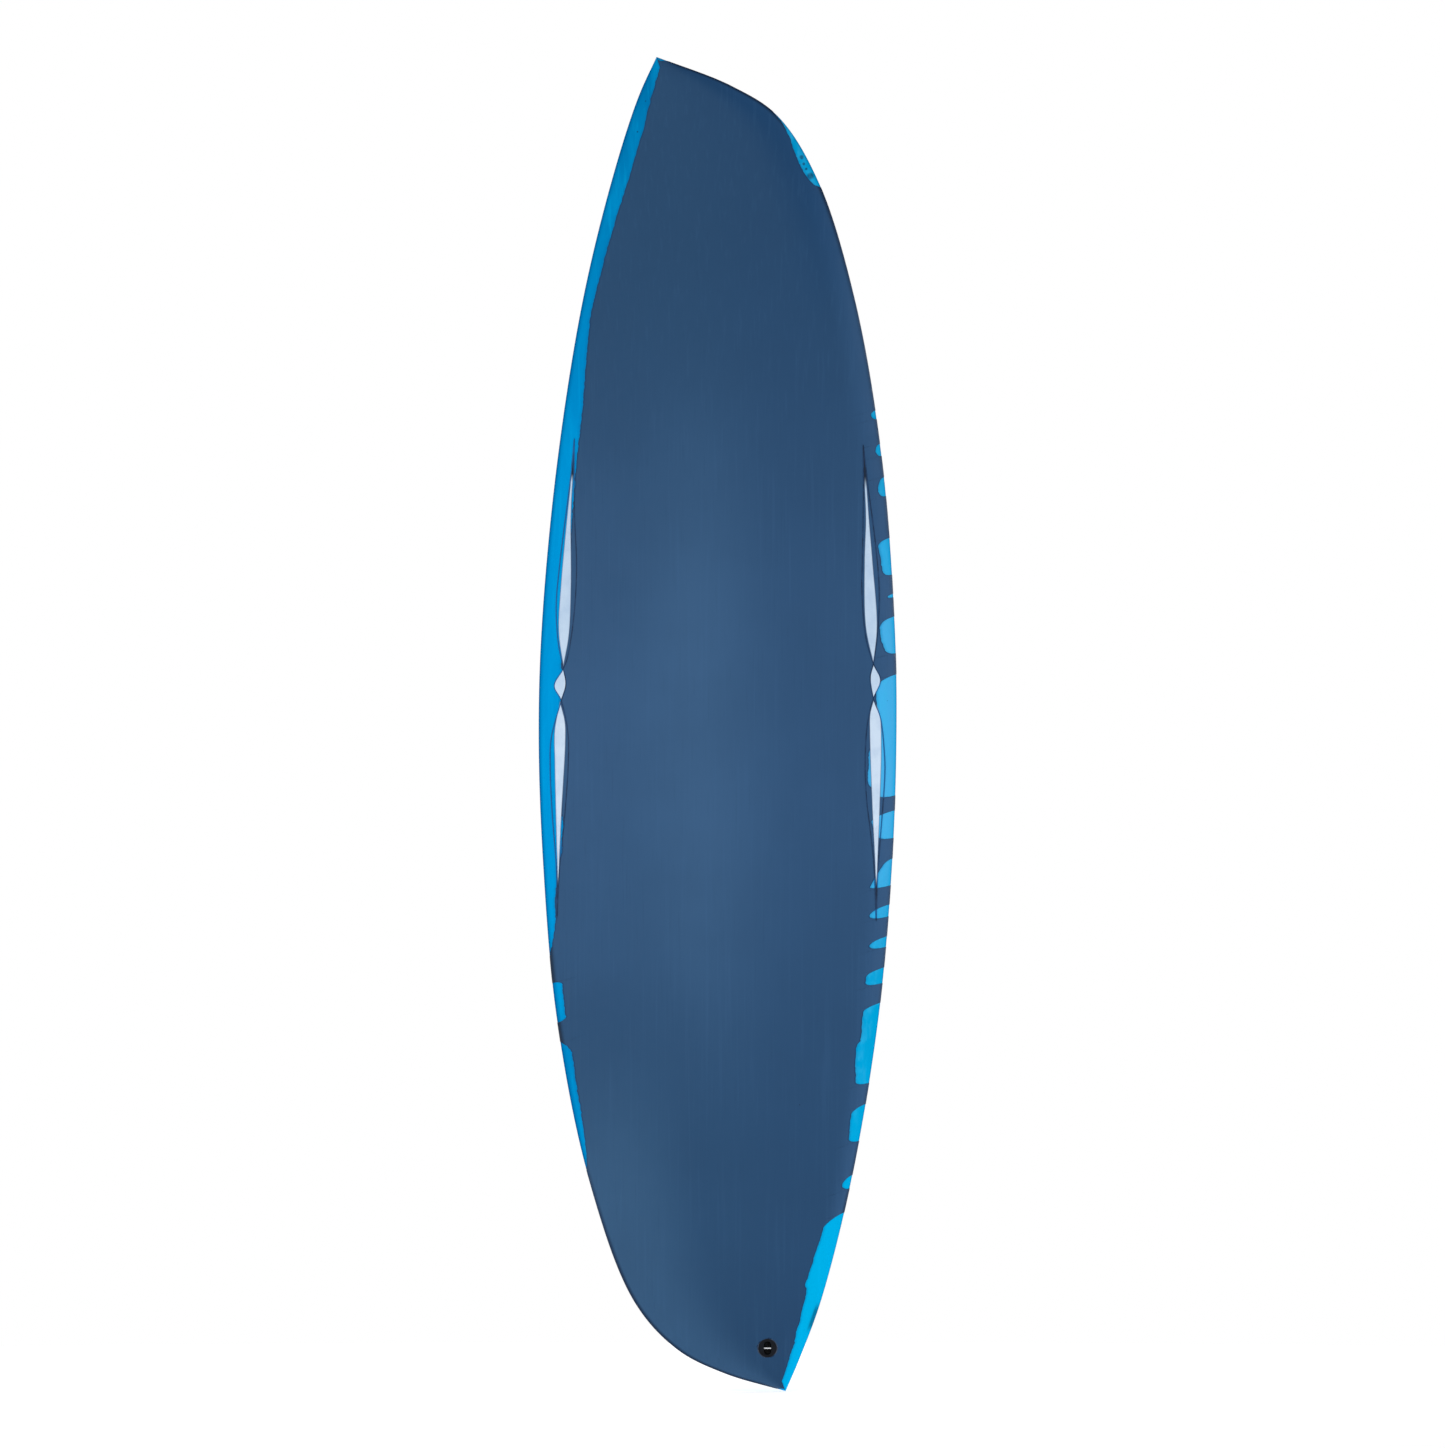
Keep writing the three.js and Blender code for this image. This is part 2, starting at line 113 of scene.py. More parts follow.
def catmull_rom(points):
    """Close samples of the centripetal Catmull-Rom curve through the points."""
    points = np.array(points, float)
    padded = np.vstack([2 * points[0] - points[1], points, 2 * points[-1] - points[-2]])
    share = np.arange(CURVE_STEPS)[:, None] / CURVE_STEPS
    samples = []
    for p0, p1, p2, p3 in zip(padded, padded[1:], padded[2:], padded[3:]):
        d0, d1, d2 = (np.linalg.norm(b - a) ** 0.5 for a, b in ((p0, p1), (p1, p2), (p2, p3)))
        start = ((p1 - p0) / d0 - (p2 - p0) / (d0 + d1) + (p2 - p1) / d1) * d1
        end = ((p2 - p1) / d1 - (p3 - p1) / (d1 + d2) + (p3 - p2) / d2) * d1
        square = 3 * (p2 - p1) - 2 * start - end
        cube = 2 * (p1 - p2) + start + end
        samples.append(p1 + start * share + square * share**2 + cube * share**3)
    return np.vstack([*samples, points[-1:]])


class Path:
    """A smooth plan curve, read by its share of arc length."""

    def __init__(self, points):
        self.places = catmull_rom(points)
        steps = np.linalg.norm(np.diff(self.places, axis=0), axis=1)
        travelled = np.concatenate([[0], np.cumsum(steps)])
        self.length = travelled[-1]
        self.along = travelled / self.length

    def at(self, along):
        return np.stack([np.interp(along, self.along, self.places[:, k]) for k in (0, 1)], -1)


HEEL, TOE = Path(HEEL_POINTS), Path(TOE_POINTS)


def quarter_round(value):
    return np.sqrt(1 - (1 - np.clip(value, 0, 1)) ** 2)


def rocker(z):
    beyond = np.maximum(0, abs(z) - FLAT_HALF_LENGTH) / (HALF_LENGTH - FLAT_HALF_LENGTH)
    return np.where(z > 0, NOSE_ROCKER * beyond**NOSE_ROCKER_POWER, TAIL_ROCKER * beyond**TAIL_ROCKER_POWER)


def thickness(z):
    share = np.minimum(1, abs(z) / HALF_LENGTH)
    nose = (CENTRE_THICKNESS - NOSE_THICKNESS) * share**NOSE_FOIL_POWER
    tail = (CENTRE_THICKNESS - TAIL_THICKNESS) * share**TAIL_FOIL_POWER
    return CENTRE_THICKNESS - np.where(z > 0, nose, tail)


def edge_reach(z):
    return EDGE_REACH + (TAIL_EDGE_REACH - EDGE_REACH) * np.maximum(0, -z / HALF_LENGTH)


def middle_z(along):
    return (HEEL.at(along)[..., 1] + TOE.at(along)[..., 1]) / 2


def half_width_at(along):
    return np.maximum(1e-6, np.linalg.norm(TOE.at(along) - HEEL.at(along), axis=-1) / 2)


def hull(side, along, across):
    """Points of the deck or the bottom. across runs from 0 at the heel rail to 1 at the toe rail."""
    heel, toe = HEEL.at(along), TOE.at(along)
    half_width = half_width_at(along)
    plan = heel + (toe - heel) * np.asarray(across)[..., None]
    z = plan[..., 1]
    inner = (1 - abs(2 * across - 1)) * half_width
    thick = thickness(z)
    apex = APEX_SHARE * thick
    if side == DECK:
        crown = 1 - (1 - inner / half_width) ** CROWN_POWER
        round_share = quarter_round(inner / np.minimum(RAIL_REACH, half_width))
        rise = (thick - apex) * (RAIL_SHARE * round_share + (1 - RAIL_SHARE) * crown)
    else:
        rise = -apex * quarter_round(inner / np.minimum(edge_reach(z), half_width))
    height = apex + rise * quarter_round(half_width / TIP_SOFTENING)
    return np.stack([plan[..., 0], -rocker(z) - height, z], -1)


def girth_of(inset, reach):
    """Girth counts round a rail: 0 at its apex, 1 at the end of its round, then by GIRTH_STEP."""
    on_round = np.arccos(1 - np.clip(inset / reach, 0, 1)) * 2 / math.pi
    return on_round + np.maximum(0, inset - reach) / GIRTH_STEP


def deck_girth(inset, half_width):
    return girth_of(inset, np.minimum(RAIL_REACH, half_width))


def inset_of(girth, reach):
    on_round = reach * (1 - np.cos(np.minimum(abs(girth), 1) * math.pi / 2))
    return on_round + np.maximum(0, abs(girth) - 1) * GIRTH_STEP


def girth_points(rail, along, girth):
    """Hull points at a girth from one rail: above 0 on the deck, below 0 on the bottom."""
    half_width = half_width_at(along)
    reach = np.where(girth >= 0, RAIL_REACH, edge_reach(middle_z(along)))
    inset = inset_of(girth, np.minimum(reach, half_width))
    share = np.minimum(inset, half_width) / (2 * half_width)
    across = share if rail is HEEL else 1 - share
    return np.where((girth >= 0)[..., None], hull(DECK, along, across), hull(BOTTOM, along, across))


def find_on_hull(x, z):
    """The along and across of plan places, found by halving towards the chord that holds them."""
    low, high = np.zeros_like(x), np.ones_like(x)
    for _ in range(40):
        middle = (low + high) / 2
        heel, toe = HEEL.at(middle), TOE.at(middle)
        chord = toe - heel
        ahead = chord[..., 1] * (x - heel[..., 0]) - chord[..., 0] * (z - heel[..., 1]) > 0
        low, high = np.where(ahead, middle, low), np.where(ahead, high, middle)
    heel, toe = HEEL.at(low), TOE.at(low)
    place = np.stack([x, z], -1)
    return low, np.linalg.norm(place - heel, axis=-1) / np.linalg.norm(toe - heel, axis=-1)


def on_hull(side, x, z):
    """Surface points over plan places, and the normals that point out of the board."""
    along, across = find_on_hull(np.asarray(x, float), np.asarray(z, float))
    step = 0.001
    point = hull(side, along, across)
    normal = np.cross(hull(side, along + step, across) - point, hull(side, along, across + step) - point)
    normal /= np.linalg.norm(normal, axis=-1, keepdims=True)
    facing = -1 if side == DECK else 1
    return point, normal * np.sign(normal[..., 1:2]) * facing


def local_frame(side, place, direction, turn=0):
    """A frame on the hull: its Z is the normal, and its X is as near to a direction as it can be."""
    point, normal = (Vector(v) for v in on_hull(side, *place))
    sideways = normal.cross(Vector(direction)).normalized()
    forward = sideways.cross(normal)
    basis = Matrix((forward, sideways, normal)).transposed().to_4x4()
    return Matrix.Translation(point) @ basis @ Matrix.Rotation(turn, 4, "Z")


# ------------ mesh building

SHARP_ANGLE, FIN_SHARP_ANGLE, BEVEL_ANGLE = 35, 50, 40
CIRCLE_SIDES, OBROUND_SIDES = 64, 48


def finish_mesh(mesh, sharp=SHARP_ANGLE):
    """Turns every face outwards and shades the mesh smooth between its sharp edges."""
    work = bmesh.new()
    work.from_mesh(mesh)
    bmesh.ops.recalc_face_normals(work, faces=work.faces)
    work.to_mesh(mesh)
    work.free()
    mesh.shade_smooth()
    mesh.set_sharp_from_angle(angle=math.radians(sharp))


def add_object(name, data):
    made = bpy.data.objects.new(name, data)
    bpy.context.scene.collection.objects.link(made)
    return made


def make_object(name, points, faces, attributes=None, sharp=SHARP_ANGLE):
    """An object from points in millimetres. attributes holds one list of numbers per name."""
    mesh = bpy.data.meshes.new(name)
    mesh.from_pydata((np.asarray(points, float) * MM).tolist(), [], faces)
    for key, values in (attributes or {}).items():
        mesh.attributes.new(key, "FLOAT", "POINT").data.foreach_set("value", np.float32(values))
    finish_mesh(mesh, sharp)
    return add_object(name, mesh)


def grid_faces(index):
    """Faces of a grid of vertex numbers. A face whose corners meet at a tip becomes a triangle."""
    corners = np.stack([index[:-1, :-1], index[1:, :-1], index[1:, 1:], index[:-1, 1:]], -1).reshape(-1, 4)
    faces = [tuple(dict.fromkeys(face)) for face in corners.tolist()]
    return [face for face in faces if len(face) > 2]


def tip_index(rows, columns, start):
    """Vertex numbers of a grid whose first row and last row are one point each."""
    index = start + 1 + np.arange(-columns, (rows - 1) * columns).reshape(rows, columns)
    index[0] = start
    index[-1] = start + 1 + (rows - 2) * columns
    return index


def tip_values(grid):
    flat = grid.reshape(grid.shape[0], grid.shape[1], -1)
    inside = flat[1:-1].reshape(-1, flat.shape[-1])
    return np.vstack([flat[0, :1], inside, flat[-1, :1]])


def shell(name, outer, inner, attributes):
    """A closed solid between two grids that taper to a point at both ends."""
    top = tip_index(*outer.shape[:2], 0)
    under = tip_index(*inner.shape[:2], top.max() + 1)
    faces = grid_faces(top) + grid_faces(under)
    for column in (0, -1):
        faces += grid_faces(np.stack([top[:, column], under[:, column]], -1))
    values = {}
    for key, grid in attributes.items():
        spread = np.interp(np.linspace(0, 1, inner.shape[1]), np.linspace(0, 1, grid.shape[1]),
                           np.arange(grid.shape[1])).round().astype(int)
        values[key] = np.concatenate([tip_values(grid)[:, 0], tip_values(grid[:, spread])[:, 0]])
    return make_object(name, np.vstack([tip_values(outer), tip_values(inner)]), faces, values)


def grid_normals(grid):
    """Unit normals of a grid, to the left of its columns as its rows run on. The tips get none."""
    normal = np.cross(np.gradient(grid, axis=0), np.gradient(grid, axis=1))
    length = np.linalg.norm(normal, axis=-1, keepdims=True)
    normal = normal / np.maximum(length, 1e-12)
    normal[[0, -1]] = 0
    return normal


def placed(points, matrix):
    return points @ np.array(matrix.to_3x3()).T + np.array(matrix.translation)


def loft(name, rings, matrix=Matrix(), attributes=None, sharp=SHARP_ANGLE):
    """A closed solid through rings with equal counts of points, each end closed by a fan."""
    rings = np.asarray(rings, float)
    count, sides = rings.shape[:2]
    index = np.arange(count * sides).reshape(count, sides)
    faces = grid_faces(np.hstack([index, index[:, :1]]))
    for ring, hub in ((index[0], count * sides), (index[-1], count * sides + 1)):
        faces += [(hub, int(a), int(b)) for a, b in zip(ring, np.roll(ring, -1))]
    points = np.vstack([rings.reshape(-1, 3), rings[0].mean(0), rings[-1].mean(0)])
    return make_object(name, placed(points, matrix), faces, attributes, sharp)


def level_ring(plan, height):
    return np.hstack([plan, np.full((len(plan), 1), height)])


def prism(name, outline, low, high, matrix=Matrix()):
    return loft(name, [level_ring(outline, low), level_ring(outline, high)], matrix)


def rectangle(length, width):
    return np.array([(1, -1), (1, 1), (-1, 1), (-1, -1)]) * (length / 2, width / 2)


def circle(radius, sides=CIRCLE_SIDES):
    turn = np.arange(sides) * 2 * math.pi / sides
    return np.stack([np.cos(turn), np.sin(turn)], -1) * radius


def obround(length, width):
    """A ring with round ends, its length along X."""
    turn = (np.arange(OBROUND_SIDES) + 0.5) * 2 * math.pi / OBROUND_SIDES - math.pi / 2
    reach = (length - width) / 2
    ring = np.stack([np.cos(turn), np.sin(turn)], -1) * width / 2
    ring[:, 0] += np.where(turn < math.pi / 2, reach, -reach)
    return ring


def upright_obround(length, width):
    """A ring with round ends, its length along Y, with its points on the same rays as a circle's."""
    ray = circle(1)
    reach, radius = (length - width) / 2, width / 2
    to_side = radius / np.maximum(abs(ray[:, 0]), 1e-9)
    past_end = np.sqrt(np.maximum(0, radius**2 - (reach * ray[:, 0]) ** 2))
    to_end = reach * abs(ray[:, 1]) + past_end
    return ray * np.where(to_side * abs(ray[:, 1]) <= reach, to_side, to_end)[:, None]


def apply_modifiers(target):
    shape = target.evaluated_get(bpy.context.evaluated_depsgraph_get())
    mesh = bpy.data.meshes.new_from_object(shape)
    target.modifiers.clear()
    target.data = mesh


def combine(target, tools, operation="DIFFERENCE"):
    """Cuts the tools out of the target, or joins them to it, and removes the tools."""
    for tool in tools:
        step = target.modifiers.new(tool.name, "BOOLEAN")
        step.object, step.operation, step.solver = tool, operation, "EXACT"
    bpy.context.view_layer.update()
    apply_modifiers(target)
    for tool in tools:
        bpy.data.objects.remove(tool)


def soften(target, width):
    """Rounds every sharp edge by a small bevel."""
    step = target.modifiers.new("soften", "BEVEL")
    step.width, step.segments = width * MM, 2
    step.limit_method, step.angle_limit = "ANGLE", math.radians(BEVEL_ANGLE)
    bpy.context.view_layer.update()
    apply_modifiers(target)
    finish_mesh(target.data)


def dress(shape, look):
    shape.data.materials.clear()
    shape.data.materials.append(look)


def add_piece(piece, look, body, stands_for=()):
    dress(piece, look)
    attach(piece, body)
    if stands_for:
        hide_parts(*stands_for)


# ------------ material building


def colour(code):
    """The linear colour of a hex code."""
    shares = [int(code[k:k + 2], 16) / 255 for k in (1, 3, 5)]
    return tuple(s / 12.92 if s <= 0.04045 else ((s + 0.055) / 1.055) ** 2.4 for s in shares) + (1,)


# Blender's wave texture turns through this many radians in a unit of its scaled place.
WAVE_RATE = 20


class Look:
    """A node material, with short calls that add nodes. A socket is linked, a value is set."""

    def __init__(self, name, **shader):
        self.material = bpy.data.materials.new(name)
        self.material.use_nodes = True
        self.tree = self.material.node_tree
        self.tree.nodes.clear()
        self.shader = self.add("ShaderNodeBsdfPrincipled")
        self.add("ShaderNodeOutputMaterial", {"Surface": self.shader.outputs[0]})
        self.place = self.add("ShaderNodeTexCoord").outputs["Object"]
        self.shade(**shader)

    def shade(self, **shader):
        self.fill(self.shader, {key.replace("_", " "): value for key, value in shader.items()})

    def fill(self, node, inputs):
        for key, value in inputs.items():
            socket = node.inputs[key]
            if isinstance(value, bpy.types.NodeSocket):
                self.tree.links.new(value, socket)
            else:
                socket.default_value = value

    def add(self, kind, inputs=None, **settings):
        node = self.tree.nodes.new(kind)
        for key, value in settings.items():
            setattr(node, key, value)
        self.fill(node, inputs or {})
        return node

    def stretched(self, x, y, z):
        return self.add("ShaderNodeMapping", {"Vector": self.place, "Scale": (x, y, z)}).outputs[0]

    def noise(self, scale, detail=3, vector=None, distortion=0):
        inputs = {"Vector": vector or self.place, "Scale": scale, "Detail": detail, "Distortion": distortion}
        return self.add("ShaderNodeTexNoise", inputs).outputs[0]

    def blotches(self, scale, detail, *spans):
        """Noise through a ramp, with the ramp's own values."""
        return self.ramp(self.noise(scale, detail), *spans)

    def cells(self, scale, feature="F1"):
        return self.add("ShaderNodeTexVoronoi", {"Vector": self.place, "Scale": scale}, feature=feature)

    def bands(self, direction, pitch):
        """Soft stripes across one axis, with a pitch in millimetres."""
        inputs = {"Vector": self.place, "Scale": 2 * math.pi / (WAVE_RATE * pitch * MM)}
        return self.add("ShaderNodeTexWave", inputs, bands_direction=direction).outputs["Fac"]

    def axis(self, name):
        return self.add("ShaderNodeSeparateXYZ", {"Vector": self.place}).outputs[name]

    def attribute(self, name):
        return self.add("ShaderNodeAttribute", attribute_name=name).outputs["Fac"]

    def math(self, operation, first, second=0.0):
        return self.add("ShaderNodeMath", {0: first, 1: second}, operation=operation).outputs[0]

    def times(self, *values):
        """The product of the values. A tuple holds a ramp's own values."""
        product, *others = (self.ramp(*value) if isinstance(value, tuple) else value for value in values)
        for other in others:
            product = self.math("MULTIPLY", product, other)
        return product

    def away(self, value, centre=0):
        """How far a value is from a centre."""
        return self.math("ABSOLUTE", self.math("SUBTRACT", value, centre))

    def ramp(self, value, low, high, start=0.0, end=1.0):
        """Goes smoothly from start to end as the value goes from low to high."""
        inputs = {"Value": value, "From Min": low, "From Max": high, "To Min": start, "To Max": end}
        return self.add("ShaderNodeMapRange", inputs, interpolation_type="SMOOTHSTEP").outputs[0]

    def mix(self, share, first, second):
        first, second = (colour(c) if isinstance(c, str) else c for c in (first, second))
        return self.add("ShaderNodeMix", {0: share, 6: first, 7: second}, data_type="RGBA").outputs[2]

    def start(self, share, first, second):
        """Starts the base colour, which each tint then goes over."""
        self.base = self.mix(self.times(share), first, second)

    def tint(self, tone, *shares):
        self.base = self.mix(self.times(*shares), self.base, tone)

    def bump(self, height, depth, strength=1.0, below=None):
        """depth is in millimetres."""
        inputs = {"Height": height, "Distance": depth * MM, "Strength": strength}
        if below:
            inputs["Normal"] = below
        return self.add("ShaderNodeBump", inputs).outputs[0]

    def finish(self, rough, grain, **more):
        rough = self.times(rough)
        self.shade(Base_Color=self.base, Roughness=rough, Normal=grain, **more)
        return self.material


def cloth(look, pitch):
    """Plain-woven glass cloth, from 0 in the holes to 1 on the threads."""
    return look.times(look.bands("X", pitch), look.bands("Z", pitch))


def streaks(look, across=240, along=5):
    """Long fine marks down the board, as sanding leaves."""
    return look.noise(1, 4, look.stretched(across, across, along))


def specks(look, spacing, size):
    """Scattered dots, 1 in a dot and 0 elsewhere. Only some of the cells hold one."""
    cell = look.cells(1000 / spacing)
    tone = look.add("ShaderNodeSeparateColor", {"Color": cell.outputs["Color"]}).outputs[0]
    dot = look.ramp(cell.outputs["Distance"], size / spacing, 0.4 * size / spacing)
    return look.times((tone, 0.7, 0.72), dot)


# ------------ materials

# Places in the materials are metres in the frame. The attribute "across" runs from 0 at the heel rail
# to 1 at the toe rail. "rail" is the distance from a rail, "cut" is how far inside its cut edge the
# navy is, and "lap" is how far outside that edge the blue is, all in millimetres and up to FAR.
DECK_WEAVE, BLUE_WEAVE, FIN_WEAVE = 1.1, 1.3, 1.6


def navy_glass():
    look = Look("navy_glass", Specular_IOR_Level=0.08)
    height, across, rail = look.axis("Z"), look.attribute("across"), look.attribute("rail")
    weave, sanded, from_middle = cloth(look, DECK_WEAVE), streaks(look), look.away(height)
    # Palest in the middle and darker to the tips and at the tail. Over that go painted light and painted
    # shade: a lighter band down the middle, a lighter heel side at the tail, a darker toe side, a lighter
    # toe rail, and a dark patch by the toe rail near the nose.
    far = look.ramp(from_middle, 0.02, 0.68)
    look.start(far, "#375a81", "#294b6e")
    # Painted highlight: a lighter band down the middle.
    look.tint("#4a6f95", (look.away(across, 0.45), 0.28, 0, 0, 0.22), (far, 1, 0))
    look.tint("#17375a", (height, -0.7, -0.95, 0, 0.35))
    # Painted light: the heel side of the tail lighter, as if lit from the heel side.
    look.tint("#4b7297", (across, 0.42, 0.1, 0, 0.28), (height, -0.4, -0.65))
    # Painted shade: the toe side darker, away from the light.
    look.tint("#22446a", (across, 0.4, 0.8, 0, 0.32))
    # Painted highlight along the toe rail.
    look.tint("#416a98", (across, 0.9, 1, 0, 0.3))
    # Painted shade by the toe rail near the nose.
    look.tint("#073a66", (across, 0.76, 0.96), (height, 0.5, 0.85), 0.6)
    # Clouds, sanding marks, weave and specks.
    look.tint("#23405f", look.blotches(7, 4, 0.3, 0.7, 0, 0.16))
    look.tint("#4a74a0", (sanded, 0.5, 0.8, 0, 0.08))
    look.tint("#1f3a58", (streaks(look, 420, 12), 0.45, 0.2, 0, 0.14))
    look.tint("#1d3754", (weave, 0.5, 0, 0, 0.1))
    look.tint("#14202f", specks(look, 42, 1.1), 0.75)
    # The cut edge, where the resin pools darker, then painted shade along both rails, in a stretch of the
    # heel rail, and on the rails near both tips, where the rails turn away from the light.
    look.tint("#14365c", (look.attribute("cut"), 2.4, 0.6, 0, 0.6))
    # Painted shade along both rails.
    look.tint("#14304d", (rail, 17, 4, 0, 0.75))
    # Painted shade in a stretch of the heel rail.
    heel_rail_shade = look.ramp(look.away(height, -0.385), 0.13, 0.08)
    look.tint("#101e2e", heel_rail_shade, (rail, 20, 10, 0, 0.7), (across, 0.2, 0.1))
    # Painted shade on the rails near both tips.
    look.tint("#0b213c", (rail, 17, 8), (from_middle, 0.55, 0.8), 0.8)
    grain = look.bump(sanded, 0.05, 0.7, look.bump(weave, 0.03))
    return look.finish(look.blotches(60, 5, 0.3, 0.7, 0.5, 0.66), grain)


# Navy drips on the blue: x, z and radius.
DRIPS = [(118.5, 799.5, 4.2), (121.5, 790, 2.8), (125, 783, 2.6), (131, 773, 6.5), (-101.5, 878, 1.2),
         (-113, 835, 1.5)]
STAIN_HEIGHT = -0.838


def blue_glass():
    look = Look("blue_glass", Specular_IOR_Level=0, Coat_Roughness=0.2, Coat_IOR=1.45)
    side, height, gloss = look.axis("X"), look.axis("Z"), look.attribute("gloss")
    rail, lap, weave = look.attribute("rail"), look.attribute("lap"), cloth(look, BLUE_WEAVE)
    on_deck = look.ramp(gloss, 0.5, 0)
    toe_side = look.times((side, 0, 0.12), on_deck)
    heel_side = look.times((side, 0.12, 0, 0.25, 1), on_deck)
    # The laps: duller on the heel side towards the nose and the tail, clearer near the tail on the toe side.
    # The toe side is painted lighter, with a painted highlight by the toe rail's middle.
    # Painted light: the toe side starts lighter than the heel side.
    look.start(toe_side, "#0096da", "#00a4da")
    look.tint("#0071ab", (height, 0.2, 0.95), heel_side)
    look.tint("#007cb8", (height, -0.32, -0.4, 0, 0.6), heel_side, (side, 0.02, -0.02))
    look.tint("#00b4ea", (height, -0.4, -0.8, 0, 0.7), toe_side)
    # Painted highlight on the toe side's laps by the middle of the rail.
    toe_lap_highlight = look.times((height, -0.4, -0.1), (height, 0.45, 0.08))
    look.tint("#58baf2", toe_side, toe_lap_highlight, (rail, 6, 19, 0.3, 1), 0.85)
    # Swirls of resin, sanding marks, weave and specks.
    swirl = look.noise(1, 5, look.stretched(14, 14, 3.2), 0.9)
    look.tint("#00b2f2", (swirl, 0.42, 0.75, 0, 0.4))
    look.tint("#007cc0", (swirl, 0.45, 0.2, 0, 0.3))
    look.tint("#08bbf6", (streaks(look, 180, 7), 0.5, 0.8, 0, 0.25))
    look.tint("#00629c", (weave, 0.5, 0, 0, 0.12))
    look.tint("#01406f", specks(look, 30, 1.0), 0.6)
    # Painted shade along the rails, at their apex partly the glass lying thicker there, then the stain near
    # the tail and the drips.
    # Darker at the rails' apex: painted shade where the rail turns away, and the glass lying thicker there.
    look.tint("#003a72", (rail, 11, 2, 0, 0.5))
    # Painted shade by the heel rail on the deck.
    look.tint("#00437c", (rail, 19, 3, 0, 0.65), (side, 0.12, 0), on_deck)
    near_stain = look.ramp(look.away(height, STAIN_HEIGHT), 0.024, 0.008)
    look.tint("#0b4064", near_stain, (rail, 19.9, 16), 0.65)
    flat_place = look.stretched(1, 0, 1)
    for x, z, radius in DRIPS:
        centre = {0: flat_place, 1: (x * MM, 0, z * MM)}
        distance = look.add("ShaderNodeVectorMath", centre, operation="DISTANCE").outputs["Value"]
        look.tint("#12395e", on_deck, (distance, radius * MM, 0.4 * radius * MM, 0, 0.85))
    # The lap's edge, its worn stretch, and the stringer seen through the bottom.
    look.tint("#0a6aa6", (lap, 5, 0, 0, 0.4))
    worn = look.ramp(look.noise(1, 4, look.stretched(110, 110, 60)), 0.35, 0.75)
    look.tint("#3fb9ea", worn, toe_side, (height, -0.6, -0.5), (lap, 19, 9, 0, 0.35))
    look.tint("#0a3c5e", (look.away(side), 0.0027, 0.0014, 0, 0.3), gloss)
    grain = look.bump(look.noise(12, 2), 0.5, 0.5, look.bump(weave, 0.02))
    return look.finish(look.blotches(45, 4, 0.3, 0.7, 0.34, 0.48), grain, Coat_Weight=gloss)


def pale_inlay():
    look = Look("pale_inlay", Specular_IOR_Level=0.2)
    weave = cloth(look, DECK_WEAVE)
    look.start((look.axis("Z"), 0.06, 0.02), "#c6dbf0", "#d3e4f6")
    look.tint("#9db9da", look.blotches(40, 4, 0.4, 0.75, 0, 0.4))
    look.tint("#dbe8f6", (streaks(look), 0.5, 0.75, 0, 0.3))
    look.tint("#8eabd0", (weave, 0.6, 0, 0, 0.2))
    look.tint("#2a4a70", (look.attribute("rim"), 1.1, 0.2, 0, 0.75))
    look.tint("#132338", look.attribute("fade"))
    return look.finish(look.blotches(60, 4, 0.3, 0.7, 0.5, 0.65), look.bump(weave, 0.03))


def ink_line():
    look = Look("ink_line", Specular_IOR_Level=0.2)
    look.start(look.blotches(90, 4, 0.35, 0.7), "#132a48", "#1d3f68")
    look.tint("#2f5a88", look.blotches(420, 3, 0.6, 0.8, 0, 0.5))
    look.tint("#0a66a8", look.attribute("blue"), 0.7)
    grain = look.bump(cloth(look, DECK_WEAVE), 0.02)
    return look.finish(look.blotches(60, 4, 0.3, 0.7, 0.48, 0.62), grain)


def moulded_plastic(name, tone, light):
    look = Look(name, Specular_IOR_Level=0.15)
    look.start(look.blotches(120, 4, 0.35, 0.7), tone, light)
    look.tint("#27303b", look.blotches(900, 3, 0.62, 0.8, 0, 0.25))
    pits = look.bump(look.noise(1800, 3), 0.04)
    return look.finish(look.blotches(200, 4, 0.3, 0.7, 0.36, 0.55), pits)


def turned_steel(name, tone, light):
    look = Look(name, Metallic=1)
    marks = look.noise(1, 3, look.stretched(60, 2600, 2600))
    look.start((marks, 0.3, 0.7), tone, light)
    look.tint("#6b6257", look.blotches(300, 4, 0.6, 0.8, 0, 0.35))
    return look.finish((marks, 0.3, 0.7, 0.16, 0.32), look.bump(marks, 0.01))


def clear_resin():
    look = Look("clear_resin", Specular_IOR_Level=0.5)
    look.start(look.blotches(260, 4, 0.35, 0.7), "#16283f", "#22405f")
    grain = look.bump(look.noise(300, 3), 0.06)
    return look.finish(look.blotches(180, 3, 0.3, 0.7, 0.2, 0.36), grain)


def fin_glass():
    look = Look("fin_glass", Specular_IOR_Level=0.25, Coat_Weight=0.45, Coat_Roughness=0.1)
    weave = cloth(look, FIN_WEAVE)
    look.start((weave, 0.1, 0.7), "#112c46", "#183b5a")
    look.tint("#3f8fb8", (look.attribute("edge"), 0, 0.93), 0.75)
    look.tint("#0a1a2b", look.blotches(30, 4, 0.4, 0.8, 0, 0.35))
    look.tint("#5c89ab", (streaks(look, 900, 40), 0.55, 0.8, 0, 0.2))
    return look.finish(look.blotches(150, 3, 0.3, 0.7, 0.2, 0.32), look.bump(weave, 0.008))


def blank_foam():
    look = Look("blank_foam", Specular_IOR_Level=0.2)
    bead = look.cells(900, "DISTANCE_TO_EDGE").outputs["Distance"]
    look.start(look.blotches(9, 4, 0.35, 0.7), "#efece1", "#e4dfcd")
    look.tint("#cfc8b2", (bead, 0.12, 0, 0, 0.5))
    return look.finish(look.blotches(300, 3, 0.3, 0.7, 0.82, 0.95), look.bump(bead, 0.12))


